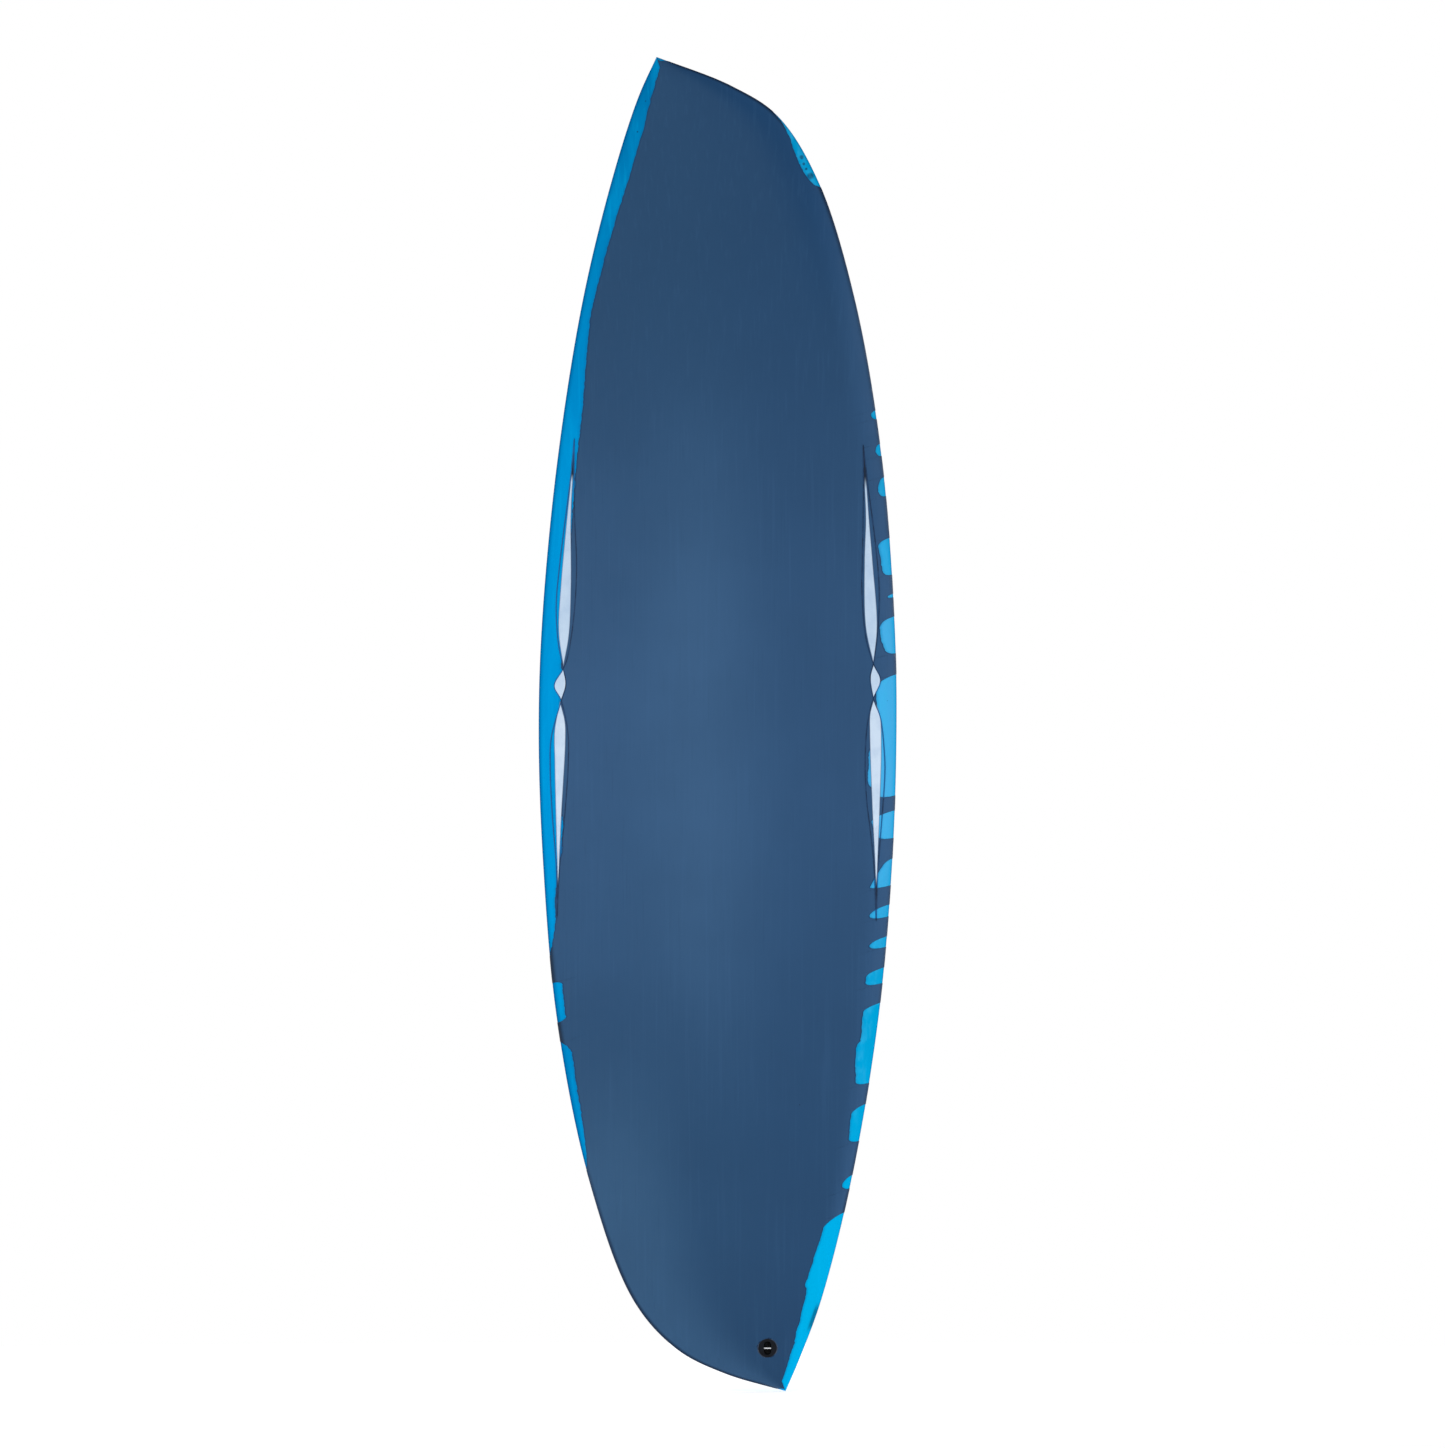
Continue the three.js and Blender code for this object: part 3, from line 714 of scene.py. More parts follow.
def stringer_wood():
    look = Look("stringer_wood", Specular_IOR_Level=0.25)
    rings = look.noise(1, 6, look.stretched(320, 320, 5), 0.6)
    look.start((rings, 0.3, 0.7), "#b98c55", "#d9b884")
    look.tint("#8a5f33", (streaks(look, 900, 30), 0.6, 0.75, 0, 0.5))
    return look.finish((rings, 0.3, 0.7, 0.55, 0.75), look.bump(rings, 0.15))


def studio_floor():
    look = Look("studio_floor", Roughness=0.9, Specular_IOR_Level=0.1, Emission_Strength=0.42,
                Emission_Color=(1, 1, 1, 1))
    look.start(look.blotches(3, 3, 0.3, 0.7), "#fbfbfb", "#f6f6f6")
    look.shade(Base_Color=look.base)
    return look.material


# ------------ glass skins

# Blue that shows between a rail and the navy cloth, as (z, width) down the rail, with the blue tips.
HEEL_BAND = [(945, 13), (935, 13.5), (915, 17.5), (890, 22), (825, 30), (763, 29), (685, 23), (577, 17),
             (502, 23), (444, 28), (355, 30), (260, 33), (147, 36), (95, 35), (77, 31), (55, 37),
             (34, 31), (5, 35), (-83, 33), (-130, 30.5), (-150, 31.5), (-188, 28), (-205, 21),
             (-222, 19), (-256, 13.5), (-272, 13.5), (-287, 12), (-308, 7), (-330, 0), (-449, 0),
             (-457, 8.5), (-468, 14), (-485, 14), (-510, 12.5), (-545, 12), (-585, 9), (-610, 6),
             (-632, 0), (-938.5, 0), (-940, 4), (-943, 5)]
TOE_BAND = [(941, 6), (936, 5), (934, 0), (866, 0), (849, 2.5), (835, 5), (819, 9.5), (805, 12.5),
            (789, 13.5), (775, 12), (763, 8.5), (757, 0)]
# Blue patches: top, bottom, width near the top, width near the bottom, and how round the ends are.
HEEL_PATCHES = [(-366, -422, 15, 12, 6)]
TOE_PATCHES = [(443, 431, 8, 8, 6), (396, 379, 7, 7, 8), (349, 322, 9, 12, 10), (263, 211, 19, 12, 9),
               (184, 179, 9, 9, 2), (152, 100, 25, 16, 11), (70, -101, 30, 33, 13),
               (-12, -93, 42, 40, 22), (-122, -161, 38, 22, 9), (-190, -228, 10, 35, 6),
               (-255, -272, 29, 29, 8), (-300, -315, 26, 25, 7), (-344, -366, 28, 25, 7),
               (-394, -447, 24, 23, 6), (-438, -507, 28.5, 22, 9), (-537, -589, 20, 17, 9),
               (-637, -656, 14, 14, 10), (-690, -790, 28, 38, 13), (-765, -955, 35, 12.5, 5)]
LAP_REACH = 62
# The shares of the half width that the blue's lap may cover, and that the navy may leave bare.
LAP_SHARE, BLUE_SHARE = 0.93, 0.96
# "rail" counts this much faster under the board than on its deck.
UNDER_PACE = 2.4
# The girth under the board at which the navy ends, where no blue shows on the deck.
NAVY_WRAP = 0.32
# The girth under the board as far as which "lap" is measured, and the blue's gloss past the rail.
LAP_WRAP = 0.3
GLOSS, GLOSS_PACE = 0.65, 4
# The glass's thickness, and the most of the half width that it may take.
GLASS_THICKNESS, GLASS_SHARE = 1.2, 0.2
NAVY_PROUD, NAVY_DEEP = 0.35, 0.35
BLUE_ROWS, LAP_COLUMNS, BOTTOM_COLUMNS = 900, 17, 24
NAVY_ROWS, NAVY_COLUMNS, NAVY_COLUMN_POWER = 1300, 33, 1.8
# The inner faces of a skin keep one column in this many.
BLUE_THINNING, NAVY_THINNING = 5, 8
# How much closer the navy's rows are at the tips and how far that reaches, and how much an edge's run
# across the board counts.
TIP_CROWDING, CROWDING_REACH, CROSSWAYS_WEIGHT = 3, 14, 0.9
# The blue shows where it is wider than SHOWING. Where it is wider than RAGGED, its edge is frayed.
SHOWING, RAGGED, RAGGED_LEAST = 0.4, 1.5, 0.5
# Seeded wander of the edges, as (wavelength, size): of the patches, of all blue, and of the navy's wrap.
PATCH_WANDER = (17, 1.2)
FRAYING = [(5, 0.6), (1.9, 0.6)]
WRAP_WANDER = [(40, 0.05), (7, 0.015)]
# The most that the attributes "rail", "cut" and "lap" say, in millimetres.
FAR = 20
FINE = np.linspace(0, 1, 8001)


def blue_rows():
    """Shares from nose to tail as a column, closer together towards both tips."""
    even = np.linspace(0, 1, BLUE_ROWS)[:, None]
    return (even + (1 - np.cos(math.pi * even)) / 2) / 2


def ripple(distance, wavelength, size):
    """Seeded wander along an edge."""
    knots = RANDOM.uniform(-size, size, int(distance.max() / wavelength) + 2)
    return np.interp(distance / wavelength, np.arange(len(knots)), knots)


def patch_width(z, top, bottom, upper, lower, softness):
    share = np.clip((top - z) / (top - bottom), 0, 1)
    width = upper + (lower - upper) * share
    return width * quarter_round(np.minimum(top - z, z - bottom) / softness)


def lap_width(rail, along, band, patches):
    """How far in from a rail the blue shows, in millimetres. It is 0 where the navy covers the rail."""
    z = rail.at(along)[..., 1]
    travelled = along * rail.length
    width = np.zeros_like(z)
    for patch in patches:
        width = np.maximum(width, patch_width(z, *patch))
    width += np.where(width > RAGGED, ripple(travelled, *PATCH_WANDER), 0)
    heights, widths = np.array(band[::-1], float).T
    width = np.maximum(width, np.interp(z, heights, widths, left=0, right=0))
    frayed = sum((ripple(travelled, *scale) for scale in FRAYING), width)
    return np.where(width > RAGGED, np.maximum(frayed, RAGGED_LEAST), width)


def edge_girth(rail, band, patches):
    """Where the navy ends, as a girth from one rail: at the lap's edge, or wrapped round the rail."""
    half_width = half_width_at(FINE)
    width = np.minimum(lap_width(rail, FINE, band, patches), BLUE_SHARE * half_width)
    wrap = sum(ripple(FINE * rail.length, *scale) for scale in WRAP_WANDER) - NAVY_WRAP
    return np.where(width > SHOWING, deck_girth(width, half_width), wrap)


def rail_distance(girth):
    """Distance round the hull from a rail's apex, counted faster under the board."""
    return np.minimum(FAR, np.where(girth < 0, -UNDER_PACE * girth, girth) * GIRTH_STEP)


def join_sides(heel, toe):
    """One grid from rail to rail. The two sides share their last column."""
    return np.concatenate([heel, toe[:, -2::-1]], 1)


def bottom_skin(edges):
    """The blue glass: the whole bottom, both rails, and the laps that run under the navy."""
    along = blue_rows()
    half_width = half_width_at(along)
    lap_girth = deck_girth(np.minimum(LAP_REACH, LAP_SHARE * half_width), half_width)
    middle_girth = girth_of(half_width, np.minimum(edge_reach(middle_z(along)), half_width))
    lap = lap_girth * np.linspace(1, 0, LAP_COLUMNS)
    bottom = -middle_girth * np.linspace(0, 1, BOTTOM_COLUMNS + 1)[1:]
    girth = np.hstack([lap, bottom])
    rows = np.broadcast_to(along, girth.shape)
    outer = join_sides(girth_points(HEEL, rows, girth), girth_points(TOE, rows, girth))
    normal = -grid_normals(outer)
    depth = np.minimum(GLASS_THICKNESS, half_width * GLASS_SHARE)[..., None]
    inner = (outer - normal * depth)[:, ::BLUE_THINNING]
    both = join_sides(girth, girth)
    to_navy = join_sides(*(np.interp(along, FINE, edge) - girth for edge in edges)) * GIRTH_STEP
    attributes = {
        "rail": rail_distance(both),
        "gloss": np.clip(-both * GLOSS_PACE, 0, 1) * GLOSS,
        "lap": np.where(both > -LAP_WRAP, np.clip(to_navy, 0, FAR), FAR),
    }
    return shell("blue_bottom_glass", outer, inner, attributes)


def rows_along_edges(edges, rows):
    """Shares of length for the navy's rows: closer together at the tips and where an edge runs across."""
    sideways = np.max([abs(np.diff(edge)) for edge in edges], axis=0) * GIRTH_STEP
    lengthways = np.diff(FINE) * HEEL.length
    to_tip = np.minimum(FINE, 1 - FINE)[1:] * HEEL.length
    tips = 1 + TIP_CROWDING * np.exp(-to_tip / CROWDING_REACH)
    travel = np.concatenate([[0], np.cumsum(np.hypot(lengthways * tips, CROSSWAYS_WEIGHT * sideways))])
    return np.interp(np.linspace(0, travel[-1], rows), travel, FINE)


def deck_skin(edges):
    """The navy glass: over the whole deck, cut back to ragged edges where the blue shows."""
    along = rows_along_edges(edges, NAVY_ROWS)
    half_width = half_width_at(along)[:, None]
    middle = deck_girth(half_width, half_width)
    steps = np.linspace(0, 1, NAVY_COLUMNS) ** NAVY_COLUMN_POWER
    sides, girths, cuts, shares = [], [], [], []
    for rail, fine_edge in zip((HEEL, TOE), edges):
        edge = np.interp(along, FINE, fine_edge)[:, None]
        girth = edge + (middle - edge) * steps
        rows = np.broadcast_to(along[:, None], girth.shape)
        sides.append(girth_points(rail, rows, girth))
        girths.append(girth)
        cuts.append(np.where(edge > 0, (girth - edge) * GIRTH_STEP, FAR))
        inset = inset_of(np.maximum(girth, 0), np.minimum(RAIL_REACH, half_width))
        share = inset / (2 * half_width)
        shares.append(share if rail is HEEL else 1 - share)
    outer, girth, cut, across = (join_sides(*pair) for pair in (sides, girths, cuts, shares))
    normal = grid_normals(outer)
    tuck = np.minimum(1, half_width / TIP_SOFTENING)[..., None]
    inner = (outer - normal * NAVY_DEEP * tuck)[:, ::NAVY_THINNING]
    outer = outer + normal * NAVY_PROUD * tuck
    attributes = {"cut": np.minimum(cut, FAR), "rail": rail_distance(girth), "across": across}
    return shell("navy_deck_glass", outer, inner, attributes)


# ------------ art laid in the deck

ART_PROUD, ART_DEEP = 0.6, 0.2
LINE_PROUD, LOZENGE_PROUD = 0.7, 0.53
RIBBON_STEPS, LEAF_STEPS, LOZENGE_STEPS = 220, 90, 30
LEAF_COLUMNS = 9


def drape(name, plan, proud, attributes):
    """A thin slab on the deck over a plan grid that tapers to a point at both ends."""
    point, normal = on_hull(DECK, plan[..., 0], plan[..., 1])
    return shell(name, point + normal * proud, point - normal * ART_DEEP, attributes)


def leaf(name, left, right, fade_span=None, proud=ART_PROUD, steps=LEAF_STEPS):
    """A long blade between two edge curves that share both their ends."""
    share = np.linspace(0, 1, steps)
    left_edge, right_edge = Path(left).at(share), Path(right).at(share)
    across = np.linspace(0, 1, LEAF_COLUMNS)
    plan = left_edge[:, None] * (1 - across[:, None]) + right_edge[:, None] * across[:, None]
    breadth = np.linalg.norm(right_edge - left_edge, axis=1)[:, None]
    rim = breadth * np.minimum(across, 1 - across)
    fade = np.zeros(plan.shape[:2])
    if fade_span:
        fade = np.clip((plan[..., 1] - fade_span[0]) / (fade_span[1] - fade_span[0]), 0, 1)
    return drape(name, plan, proud, {"fade": fade, "rim": rim})


def on_blue(plan, edges):
    """1 where a plan place lies on the blue lap, 0 where it lies on the navy."""
    along, across = find_on_hull(plan[..., 0], plan[..., 1])
    half_width = half_width_at(along)
    girth = deck_girth(2 * half_width * np.minimum(across, 1 - across), half_width)
    edge = np.where(across < 0.5, np.interp(along, FINE, edges[0]), np.interp(along, FINE, edges[1]))
    return (girth < edge).astype(float)


def ribbon(name, points, width, edges):
    """A narrow line along a curve, tapering at both ends."""
    path = Path(points)
    share = np.linspace(0, 1, RIBBON_STEPS)
    middle = path.at(share)
    direction = np.gradient(middle, axis=0)
    direction /= np.linalg.norm(direction, axis=1, keepdims=True)
    sideways = np.stack([direction[:, 1], -direction[:, 0]], -1)
    breadth = width / 2 * quarter_round(np.minimum(share, 1 - share) * path.length / (2 * width))
    across = np.linspace(-1, 1, 3)[None, :, None]
    plan = middle[:, None] + sideways[:, None] * breadth[:, None, None] * across
    return drape(name, plan, LINE_PROUD, {"blue": on_blue(plan, edges)})


# One set of art per rail. The upper leaf hangs from its apex, a lozenge joins it to the lower leaf,
# and pinlines run round both leaves. All are (x, z) places, from top to bottom.
ART = {
    "heel": dict(
        upper_left=[(-202.3, 404), (-206.8, 362), (-207.4, 345), (-212.6, 292), (-221.3, 195),
                    (-224.4, 130), (-217.9, 81)],
        upper_right=[(-202.3, 404), (-202.4, 362), (-204.4, 345), (-207, 292), (-206.9, 195),
                     (-210, 125), (-217.9, 81)],
        upper_fade=(343, 352),
        lower_left=[(-222.5, 32), (-230, -8), (-229.9, -54), (-227.3, -170), (-225.9, -224),
                    (-226.6, -274)],
        lower_right=[(-222.5, 32), (-215.5, 3), (-214.9, -25), (-220.7, -132), (-224.6, -224),
                     (-226.6, -274)],
        lower_fade=(-215, -228),
        lines=[
            [(-202.3, 404), (-206.4, 358), (-211.4, 318), (-222.5, 230), (-228, 167), (-224.9, 113),
             (-217.9, 78), (-214.3, 56), (-220.7, 33), (-235, -20), (-236.5, -60), (-233.7, -126),
             (-228, -200), (-226.6, -274)],
            [(-202.3, 404), (-202.6, 358), (-202.2, 298), (-199.2, 218), (-203.5, 148), (-212.1, 94),
             (-217.9, 78), (-230.7, 54), (-220.7, 33), (-211.5, -12), (-210.8, -52), (-216, -130),
             (-223, -200), (-226.6, -274)],
        ],
        lozenge=[(-218, 79), (-230.7, 54), (-221, 33), (-214.3, 56)],
    ),
    "toe": dict(
        upper_left=[(205.5, 395), (207, 346), (209.1, 290), (207.3, 230), (209.1, 137), (220, 85)],
        upper_right=[(205.5, 395), (209.8, 346), (213.8, 290), (218.8, 230), (225.2, 137), (220, 85)],
        upper_fade=(332, 348),
        lower_left=[(220.5, 35), (215.2, 14), (214.8, -11), (218.1, -112), (222.8, -213), (223.9, -279)],
        lower_right=[(220.5, 35), (229, 14), (231.1, -31), (228.6, -126), (225.3, -213), (223.9, -279)],
        lower_fade=(-213, -228),
        lines=[
            [(205.5, 395), (205.9, 323), (204.5, 230), (203.8, 190), (209.1, 123), (220, 85),
             (230, 62), (220, 36), (211.6, 0), (208.4, -54), (210.4, -106), (216.2, -155), (220.5, -195),
             (223.9, -279)],
            [(205.5, 395), (212.6, 334), (223.1, 253), (228.4, 184), (225.3, 123), (220, 85),
             (215.6, 66), (220, 36), (230, 8), (235.5, -40), (236.3, -69), (229.1, -170), (226.3, -206),
             (223.9, -279)],
        ],
        lozenge=[(220, 85), (215.6, 66), (220, 36), (230, 62)],
    ),
}
PINLINE_WIDTH = 1.25


def lay_art(side, shapes, edges, pale, ink):
    """The leaves, lozenge and pinlines of one rail."""
    for part in ("upper", "lower"):
        outline = shapes[part + "_left"], shapes[part + "_right"]
        piece = leaf(f"{side}_{part}_inlay", *outline, shapes[part + "_fade"])
        add_piece(piece, pale, "board")
    top, left, foot, right = shapes["lozenge"]
    halves = [top, left, foot], [top, right, foot]
    piece = leaf(f"{side}_lozenge", *halves, proud=LOZENGE_PROUD, steps=LOZENGE_STEPS)
    add_piece(piece, pale, "board")
    for number, points in enumerate(shapes["lines"], 1):
        piece = ribbon(f"{side}_pinline_{number}", points, PINLINE_WIDTH, edges)
        add_piece(piece, ink, "board")


# ------------ leash cup

CUP_ROUND = 0.7
FLANGE_THICKNESS, FLANGE_STEP, RIM_WIDTH = 2, 0.2, 1.6
CUP_WALL_INSET = 1
# How much narrower the pocket is at each height above its floor, as (narrower, height).
POCKET_FOOT = [(0.6, 1), (2, 0)]
CUP_PROUD, FACE_PROUD = 0.3, 0.12
PIN_CHAMFER, PIN_SIDES = 0.5, 40
SEAL_STEPS, SEAL_GAP = 13, 0.5
SEAL_HALF_WIDTH, SEAL_RISE = 0.7, 0.28


def leash_cup(matrix):
    """A moulded cup: a flange with a rolled rim, and an oblong pocket with a soft edge."""
    wall = circle(CUP_RADIUS - CUP_WALL_INSET)
    rings = [level_ring(wall, -CUP_DEPTH), level_ring(wall, -FLANGE_THICKNESS - FLANGE_STEP),
             level_ring(circle(CUP_RADIUS), -FLANGE_THICKNESS)]
    quarter = np.linspace(0, math.pi / 2, 5)
    for turn in quarter:
        radius = CUP_RADIUS - CUP_ROUND * (1 - math.cos(turn))
        rings.append(level_ring(circle(radius), CUP_ROUND * (math.sin(turn) - 1) + CUP_PROUD))
    rings.append(level_ring(circle(CUP_RADIUS - RIM_WIDTH), FACE_PROUD))
    for turn in quarter:
        grow = 2 * CUP_ROUND * (1 - math.sin(turn))
        pocket = upright_obround(POCKET_LENGTH + grow, POCKET_WIDTH + grow)
        rings.append(level_ring(pocket, CUP_ROUND * (math.cos(turn) - 1)))
    for narrower, height in POCKET_FOOT:
        pocket = upright_obround(POCKET_LENGTH - narrower, POCKET_WIDTH - narrower)
        rings.append(level_ring(pocket, height - POCKET_DEPTH))
    return loft("leash_cup_body", rings, matrix)


def leash_pin(matrix):
    """A round bar with chamfered ends, lying across the pocket."""
    half = PIN_LENGTH / 2
    profile = [(PIN_RADIUS - PIN_CHAMFER, -half), (PIN_RADIUS, PIN_CHAMFER - half),
               (PIN_RADIUS, half - PIN_CHAMFER), (PIN_RADIUS - PIN_CHAMFER, half)]
    rings = [np.roll(level_ring(circle(radius, PIN_SIDES), end), 1, axis=1) for radius, end in profile]
    return loft("leash_pin_bar", rings, matrix @ Matrix.Translation((0, 0, -PIN_DEPTH)))


def cup_seal(matrix):
    """The bead of resin that the cup is set in."""
    rings = []
    for turn in np.linspace(0, 2 * math.pi, SEAL_STEPS):
        radius = CUP_RADIUS + SEAL_GAP + SEAL_HALF_WIDTH * math.cos(turn)
        rings.append(level_ring(circle(radius), SEAL_RISE * math.sin(turn)))
    index = np.arange(SEAL_STEPS * CIRCLE_SIDES).reshape(SEAL_STEPS, CIRCLE_SIDES)
    index[-1] = index[0]
    faces = grid_faces(np.hstack([index, index[:, :1]]))
    return make_object("leash_cup_seal", placed(np.vstack(rings[:-1]), matrix), faces)


# ------------ fins, boxes and screws

SCREW_SPOTS = {"front": TAB_SPACING / 2, "rear": -TAB_SPACING / 2}
THREAD_PITCH, THREAD_DEPTH = 0.7, 0.22
SCREW_SIDES, HOLE_SIDES = 36, 32
POINT_RADIUS, POINT_LENGTH, POINT_CHAMFER = 0.6, 0.9, 0.6
THREAD_START, THREAD_END, THREAD_STEPS = 1.1, 0.5, 5
HEAD_CHAMFER, HEAD_CHAMFER_DEPTH = 0.4, 0.3
SOCKET_FLARE, SOCKET_FLARE_DEPTH = 1.12, 0.15
HOLE_PAST = 1.2
CUT_PAST = 3
BOX_PROUD, BOX_CHAMFER, BOX_FOOT_CHAMFER, BOX_BEVEL = 0.1, 0.5, 1, 0.25
TAB_OVERLAP = 1.2
FIN_RIM = 7
FIN_ROWS, FIN_ROW_POWER, FIN_COLUMNS = 56, 0.8, 29
TIP_THINNING, TIP_CLOSING, TIP_CLOSING_POWER = 0.62, 1.02, 6
FOIL_SCALE, FOIL_FRONT_POWER, FOIL_LEAST, FOIL_BACK_POWER = 2.88, 0.6, 0.35, 8
FRONT_ROUND, FRONT_ROUND_SHARE = 0.09, 0.06


def fin_box(name, outboard, matrix):
    """A round-ended box with two slots for the fin's tabs and a screw hole beside each."""
    profile = [(BOX_FOOT_CHAMFER, -BOX_DEPTH), (0, BOX_FOOT_CHAMFER - BOX_DEPTH),
               (0, BOX_PROUD - BOX_CHAMFER), (BOX_CHAMFER, BOX_PROUD)]
    rings = [level_ring(obround(BOX_LENGTH - 2 * inset, BOX_WIDTH - 2 * inset), height)
             for inset, height in profile]
    box = loft(f"fin_box_{name}_body", rings, matrix)
    slot = rectangle(TAB_LENGTH + 2 * GAP, TAB_THICKNESS + 2 * GAP)
    hole = circle(SCREW_RADIUS + GAP, HOLE_SIDES)
    tools = []
    for end, x in SCREW_SPOTS.items():
        slot_place = matrix @ Matrix.Translation((x, 0, 0))
        tools.append(prism(f"slot_{end}", slot, -SLOT_DEPTH, CUT_PAST, slot_place))
        hole_place = matrix @ Matrix.Translation((x, outboard * SCREW_OFFSET, 0))
        tools.append(prism(f"hole_{end}", hole, -SCREW_LENGTH - HOLE_PAST, CUT_PAST, hole_place))
    combine(box, tools)
    soften(box, BOX_BEVEL)
    return box


def bezier(points, share):
    """A cubic Bezier curve through four control points."""
    p0, p1, p2, p3 = (np.array(p, float) for p in points)
    s = np.asarray(share)[:, None]
    return p0 * (1 - s)**3 + 3 * p1 * s * (1 - s)**2 + 3 * p2 * s**2 * (1 - s) + p3 * s**3


def fin_edges(base, depth, rake, share):
    """The leading and trailing edges of a blade, as places along its base and out from it.

    Their control points are shares of the base and the depth.
    """
    front = base / 2
    tip = (-front - rake + 0.45 * base, depth)
    leading = [(front, 0), (front - 0.2 * base, 0.45 * depth), (tip[0] + 0.42 * base, 0.93 * depth), tip]
    trailing = [(-front, 0), (0.16 * base - front, 0.32 * depth), (tip[0] + 0.12 * base, 0.72 * depth), tip]
    return bezier(leading, share), bezier(trailing, share)


def fin_blade(name, fin, matrix):
    """A swept blade, flat inboard and foiled outboard, with its two tabs."""
    share = np.linspace(0, 1, FIN_ROWS) ** FIN_ROW_POWER
    fraction = (1 - np.cos(np.linspace(0, math.pi, FIN_COLUMNS))) / 2
    foil = FOIL_SCALE * fraction**FOIL_FRONT_POWER * (1 - fraction)
    least = FOIL_LEAST * (1 - fraction**FOIL_BACK_POWER)
    front_round = FRONT_ROUND * np.maximum(0, 1 - fraction / FRONT_ROUND_SHARE) ** 2
    rings, edges = [], []
    for ahead, behind, step in zip(*fin_edges(fin["base"], fin["depth"], fin["rake"], share), share):
        chord = ahead + (behind - ahead) * fraction[:, None]
        closing = min(1, TIP_CLOSING - step**TIP_CLOSING_POWER)
        thick = fin["thickness"] * (1 - TIP_THINNING * step) * closing
        lean = math.tan(CANT) * chord[:, 1] - TAB_THICKNESS / 2
        flat, foiled = (
            np.stack([chord[:, 0], fin["outboard"] * (lean + outwards), chord[:, 1] + FIN_LIFT], -1)
            for outwards in (thick * front_round, thick * foil + least))
        rings.append(np.vstack([flat, foiled[-2:0:-1]]))
        inwards = np.linalg.norm(ahead - behind) * np.minimum(fraction, 1 - fraction)
        closeness = np.clip(1 - inwards / FIN_RIM, 0, 1)
        edges.append(np.concatenate([closeness, closeness[-2:0:-1]]))
    rim = {"edge": np.concatenate([*edges, [0, 1]])}
    blade = loft(f"fin_{name}_blade", rings, matrix, rim, FIN_SHARP_ANGLE)
    tab = rectangle(TAB_LENGTH, TAB_THICKNESS)
    tabs = [prism(f"tab_{end}", tab, -TAB_DEPTH, TAB_OVERLAP, matrix @ Matrix.Translation((x, 0, 0)))
            for end, x in SCREW_SPOTS.items()]
    combine(blade, tabs, "UNION")
    finish_mesh(blade.data, FIN_SHARP_ANGLE)
    return blade


def grub_screw(name, matrix):
    """A threaded grub screw with a hex socket and a cone point."""
    turn = np.arange(SCREW_SIDES) / SCREW_SIDES
    ring = circle(1, SCREW_SIDES)
    rings = [level_ring(ring * POINT_RADIUS, -SCREW_LENGTH),
             level_ring(ring * (SCREW_RADIUS - POINT_CHAMFER), POINT_LENGTH - SCREW_LENGTH)]
    for height in np.arange(THREAD_START - SCREW_LENGTH, -THREAD_END, THREAD_PITCH / THREAD_STEPS):
        wave = abs(((height / THREAD_PITCH + turn) % 1) * 2 - 1)
        rings.append(level_ring(ring * (SCREW_RADIUS - THREAD_DEPTH * wave)[:, None], height))
    corner = (turn * 6 + 0.5) % 1 - 0.5
    hexagon = ring * SOCKET_RADIUS * (math.cos(math.pi / 6) / np.cos(corner * math.pi / 3))[:, None]
    rings += [level_ring(ring * (SCREW_RADIUS - THREAD_DEPTH), -HEAD_CHAMFER_DEPTH),
              level_ring(ring * (SCREW_RADIUS - HEAD_CHAMFER), 0),
              level_ring(hexagon * SOCKET_FLARE, 0), level_ring(hexagon, -SOCKET_FLARE_DEPTH),
              level_ring(hexagon, -SOCKET_DEPTH)]
    return loft(name, rings, matrix, sharp=FIN_SHARP_ANGLE)


# ------------ object

CUP_HOLE_GAP, CUP_HOLE_DEPTH = 0.1, 15
SKIN_CUT_PAST = 4


def build_skins(cup_frame, fin_frames):
    """Both glass skins, with their openings. It gives back where the navy ends at each rail."""
    edges = [edge_girth(HEEL, HEEL_BAND, HEEL_PATCHES), edge_girth(TOE, TOE_BAND, TOE_PATCHES)]
    bottom, deck = bottom_skin(edges), deck_skin(edges)
    hole = circle(CUP_RADIUS + CUP_HOLE_GAP)
    for target in (bottom, deck):
        combine(target, [prism("cup_hole", hole, -CUP_HOLE_DEPTH, SKIN_CUT_PAST, cup_frame)])
    pocket = obround(BOX_LENGTH + 2 * GAP, BOX_WIDTH + 2 * GAP)
    combine(bottom, [prism(f"pocket_{name}", pocket, -BOX_DEPTH, SKIN_CUT_PAST, matrix)
                     for name, matrix in fin_frames.items()])
    for target in (bottom, deck):
        finish_mesh(target.data)
    add_piece(bottom, blue_glass(), "board", ["bottom_laminate"])
    add_piece(deck, navy_glass(), "board", ["deck_laminate"])
    return edges


def build_cup(cup_frame):
    plastic = moulded_plastic("cup_plastic", "#04070e", "#0a0f18")
    steel = turned_steel("pin_steel", "#c4c8cd", "#e9ebee")
    add_piece(leash_cup(cup_frame), plastic, "board", ["leash_cup"])
    add_piece(leash_pin(cup_frame), steel, "board", ["leash_pin"])
    add_piece(cup_seal(cup_frame), clear_resin(), "board")


def build_fins(fin_frames):
    plastic = moulded_plastic("box_plastic", "#0f1722", "#1b2634")
    glass, steel = fin_glass(), turned_steel("screw_steel", "#8d9298", "#c9cdd1")
    for name, matrix in fin_frames.items():
        fin = FINS[name]
        box = fin_box(name, fin["outboard"], matrix)
        add_piece(box, plastic, "board", [f"fin_box_{name}"])
        add_piece(fin_blade(name, fin, matrix), glass, f"fin_{name}", [f"fin_{name}"])
        for end, x in SCREW_SPOTS.items():
            node = f"grub_screw_{name}_{end}"
            place = matrix @ Matrix.Translation((x, fin["outboard"] * SCREW_OFFSET, -SCREW_RECESS))
            add_piece(grub_screw(f"{node}_thread", place), steel, node, [node])


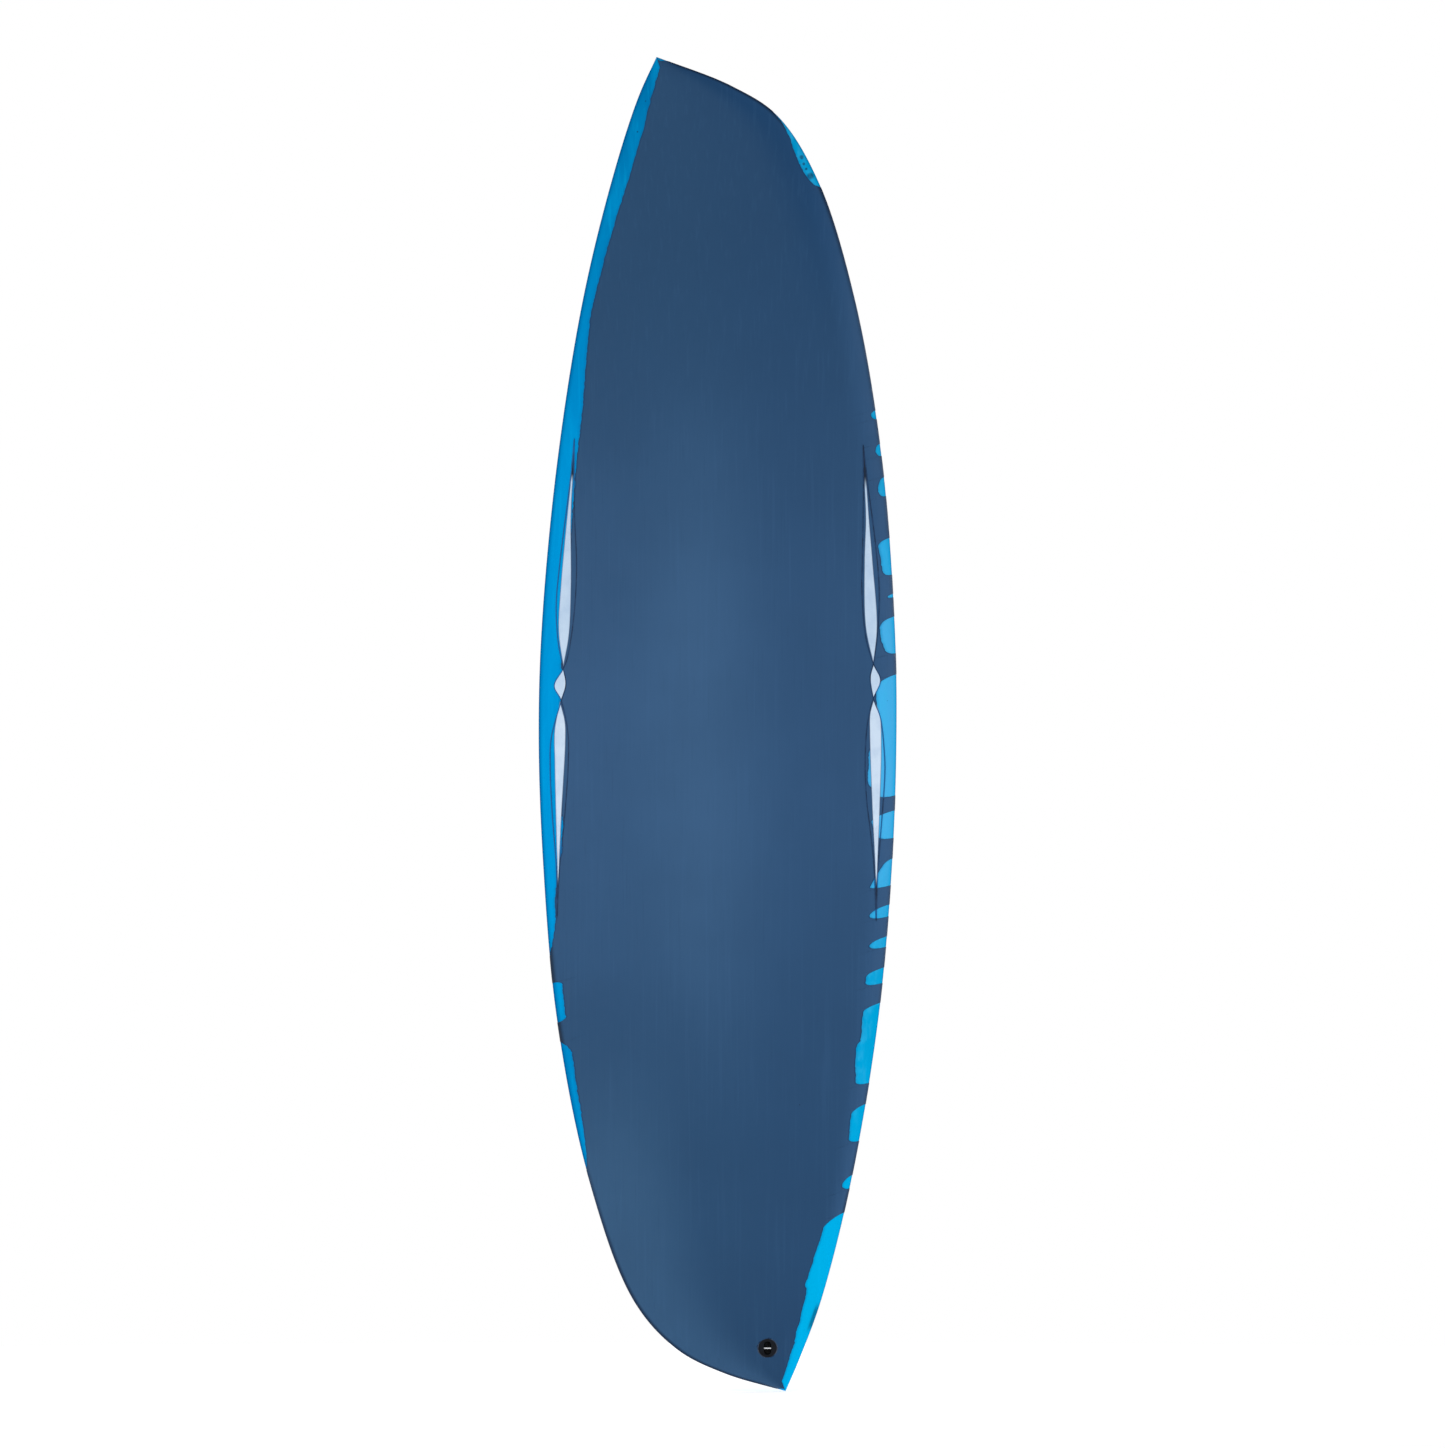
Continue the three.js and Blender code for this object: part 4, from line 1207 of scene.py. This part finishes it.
def build_board():
    cup_frame = local_frame(DECK, CUP_PLACE, (1, 0, 0))
    fin_frames = {
        name: local_frame(BOTTOM, fin["place"], (0, 0, 1), -fin["outboard"] * TOE_IN)
        for name, fin in FINS.items()
    }
    edges = build_skins(cup_frame, fin_frames)
    pale, ink = pale_inlay(), ink_line()
    for side, shapes in ART.items():
        lay_art(side, shapes, edges, pale, ink)
    build_cup(cup_frame)
    build_fins(fin_frames)


def dress_cad_nodes():
    foam, wood = blank_foam(), stringer_wood()
    looks = {"foam_blank_heel_side": foam, "foam_blank_toe_side": foam, "wooden_stringer": wood}
    for node, look in looks.items():
        dress(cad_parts[node], look)


# ------------ studio

# Lengths in this section are metres, apart from the floor's, which a loft takes in millimetres.
FLOOR_RADIUS, FLOOR_SIDES, FLOOR_DEPTH, FLOOR_GAP = 2600, 128, 20, 0.5
LENS = 600
SENSOR = 36
VIEW_HEIGHT = 2.043
VIEW_MIDDLE_X = 0.0069
DECK_PLANE = -0.09
WORLD_LIGHT = 0.57
LIGHTS = {
    "key": dict(place=(-3.0, -4.2, 1.8), size=2.6, power=84),
    "side": dict(place=(4.6, -1.4, 0.4), size=2.2, power=46),
    "back": dict(place=(-3.0, 4.2, 2.4), size=3.4, power=64),
    "low_back": dict(place=(3.2, 3.6, 0.4), size=2.4, power=36),
}


def make_camera():
    data = bpy.data.cameras.new("camera")
    data.lens, data.sensor_width = LENS, SENSOR
    distance = VIEW_HEIGHT * LENS / SENSOR
    data.clip_end = 3 * distance
    camera = add_object("camera", data)
    camera.location = (VIEW_MIDDLE_X, DECK_PLANE - distance, 0)
    camera.rotation_euler = (math.pi / 2, 0, 0)
    bpy.context.scene.camera = camera


def add_light(name, place, size, power):
    data = bpy.data.lights.new(name, "AREA")
    data.shape, data.size, data.energy = "DISK", size, power
    light = add_object(name, data)
    light.location = place
    light.rotation_euler = (-Vector(place)).to_track_quat("-Z", "Y").to_euler()
    light.visible_camera = False


def make_world():
    """White where the camera sees it, and softer as a light."""
    world = bpy.data.worlds.new("studio")
    bpy.context.scene.world = world
    world.use_nodes = True
    nodes, links = world.node_tree.nodes, world.node_tree.links
    nodes.clear()
    mix, path = nodes.new("ShaderNodeMixShader"), nodes.new("ShaderNodeLightPath")
    links.new(path.outputs["Is Camera Ray"], mix.inputs[0])
    for socket, strength in ((1, WORLD_LIGHT), (2, 1)):
        background = nodes.new("ShaderNodeBackground")
        background.inputs["Color"].default_value = (1, 1, 1, 1)
        background.inputs["Strength"].default_value = strength
        links.new(background.outputs[0], mix.inputs[socket])
    links.new(mix.outputs[0], nodes.new("ShaderNodeOutputWorld").inputs[0])


def make_studio():
    bpy.context.scene.view_settings.view_transform = "Standard"
    make_world()
    for name, light in LIGHTS.items():
        add_light(name, **light)


def make_floor():
    """A plain disk just under the board."""
    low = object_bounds()[0].z / MM - FLOOR_GAP
    floor = prism("floor", circle(FLOOR_RADIUS, FLOOR_SIDES), low - FLOOR_DEPTH, low)
    dress(floor, studio_floor())


make_camera()
build_board()
dress_cad_nodes()
make_studio()
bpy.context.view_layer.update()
make_floor()
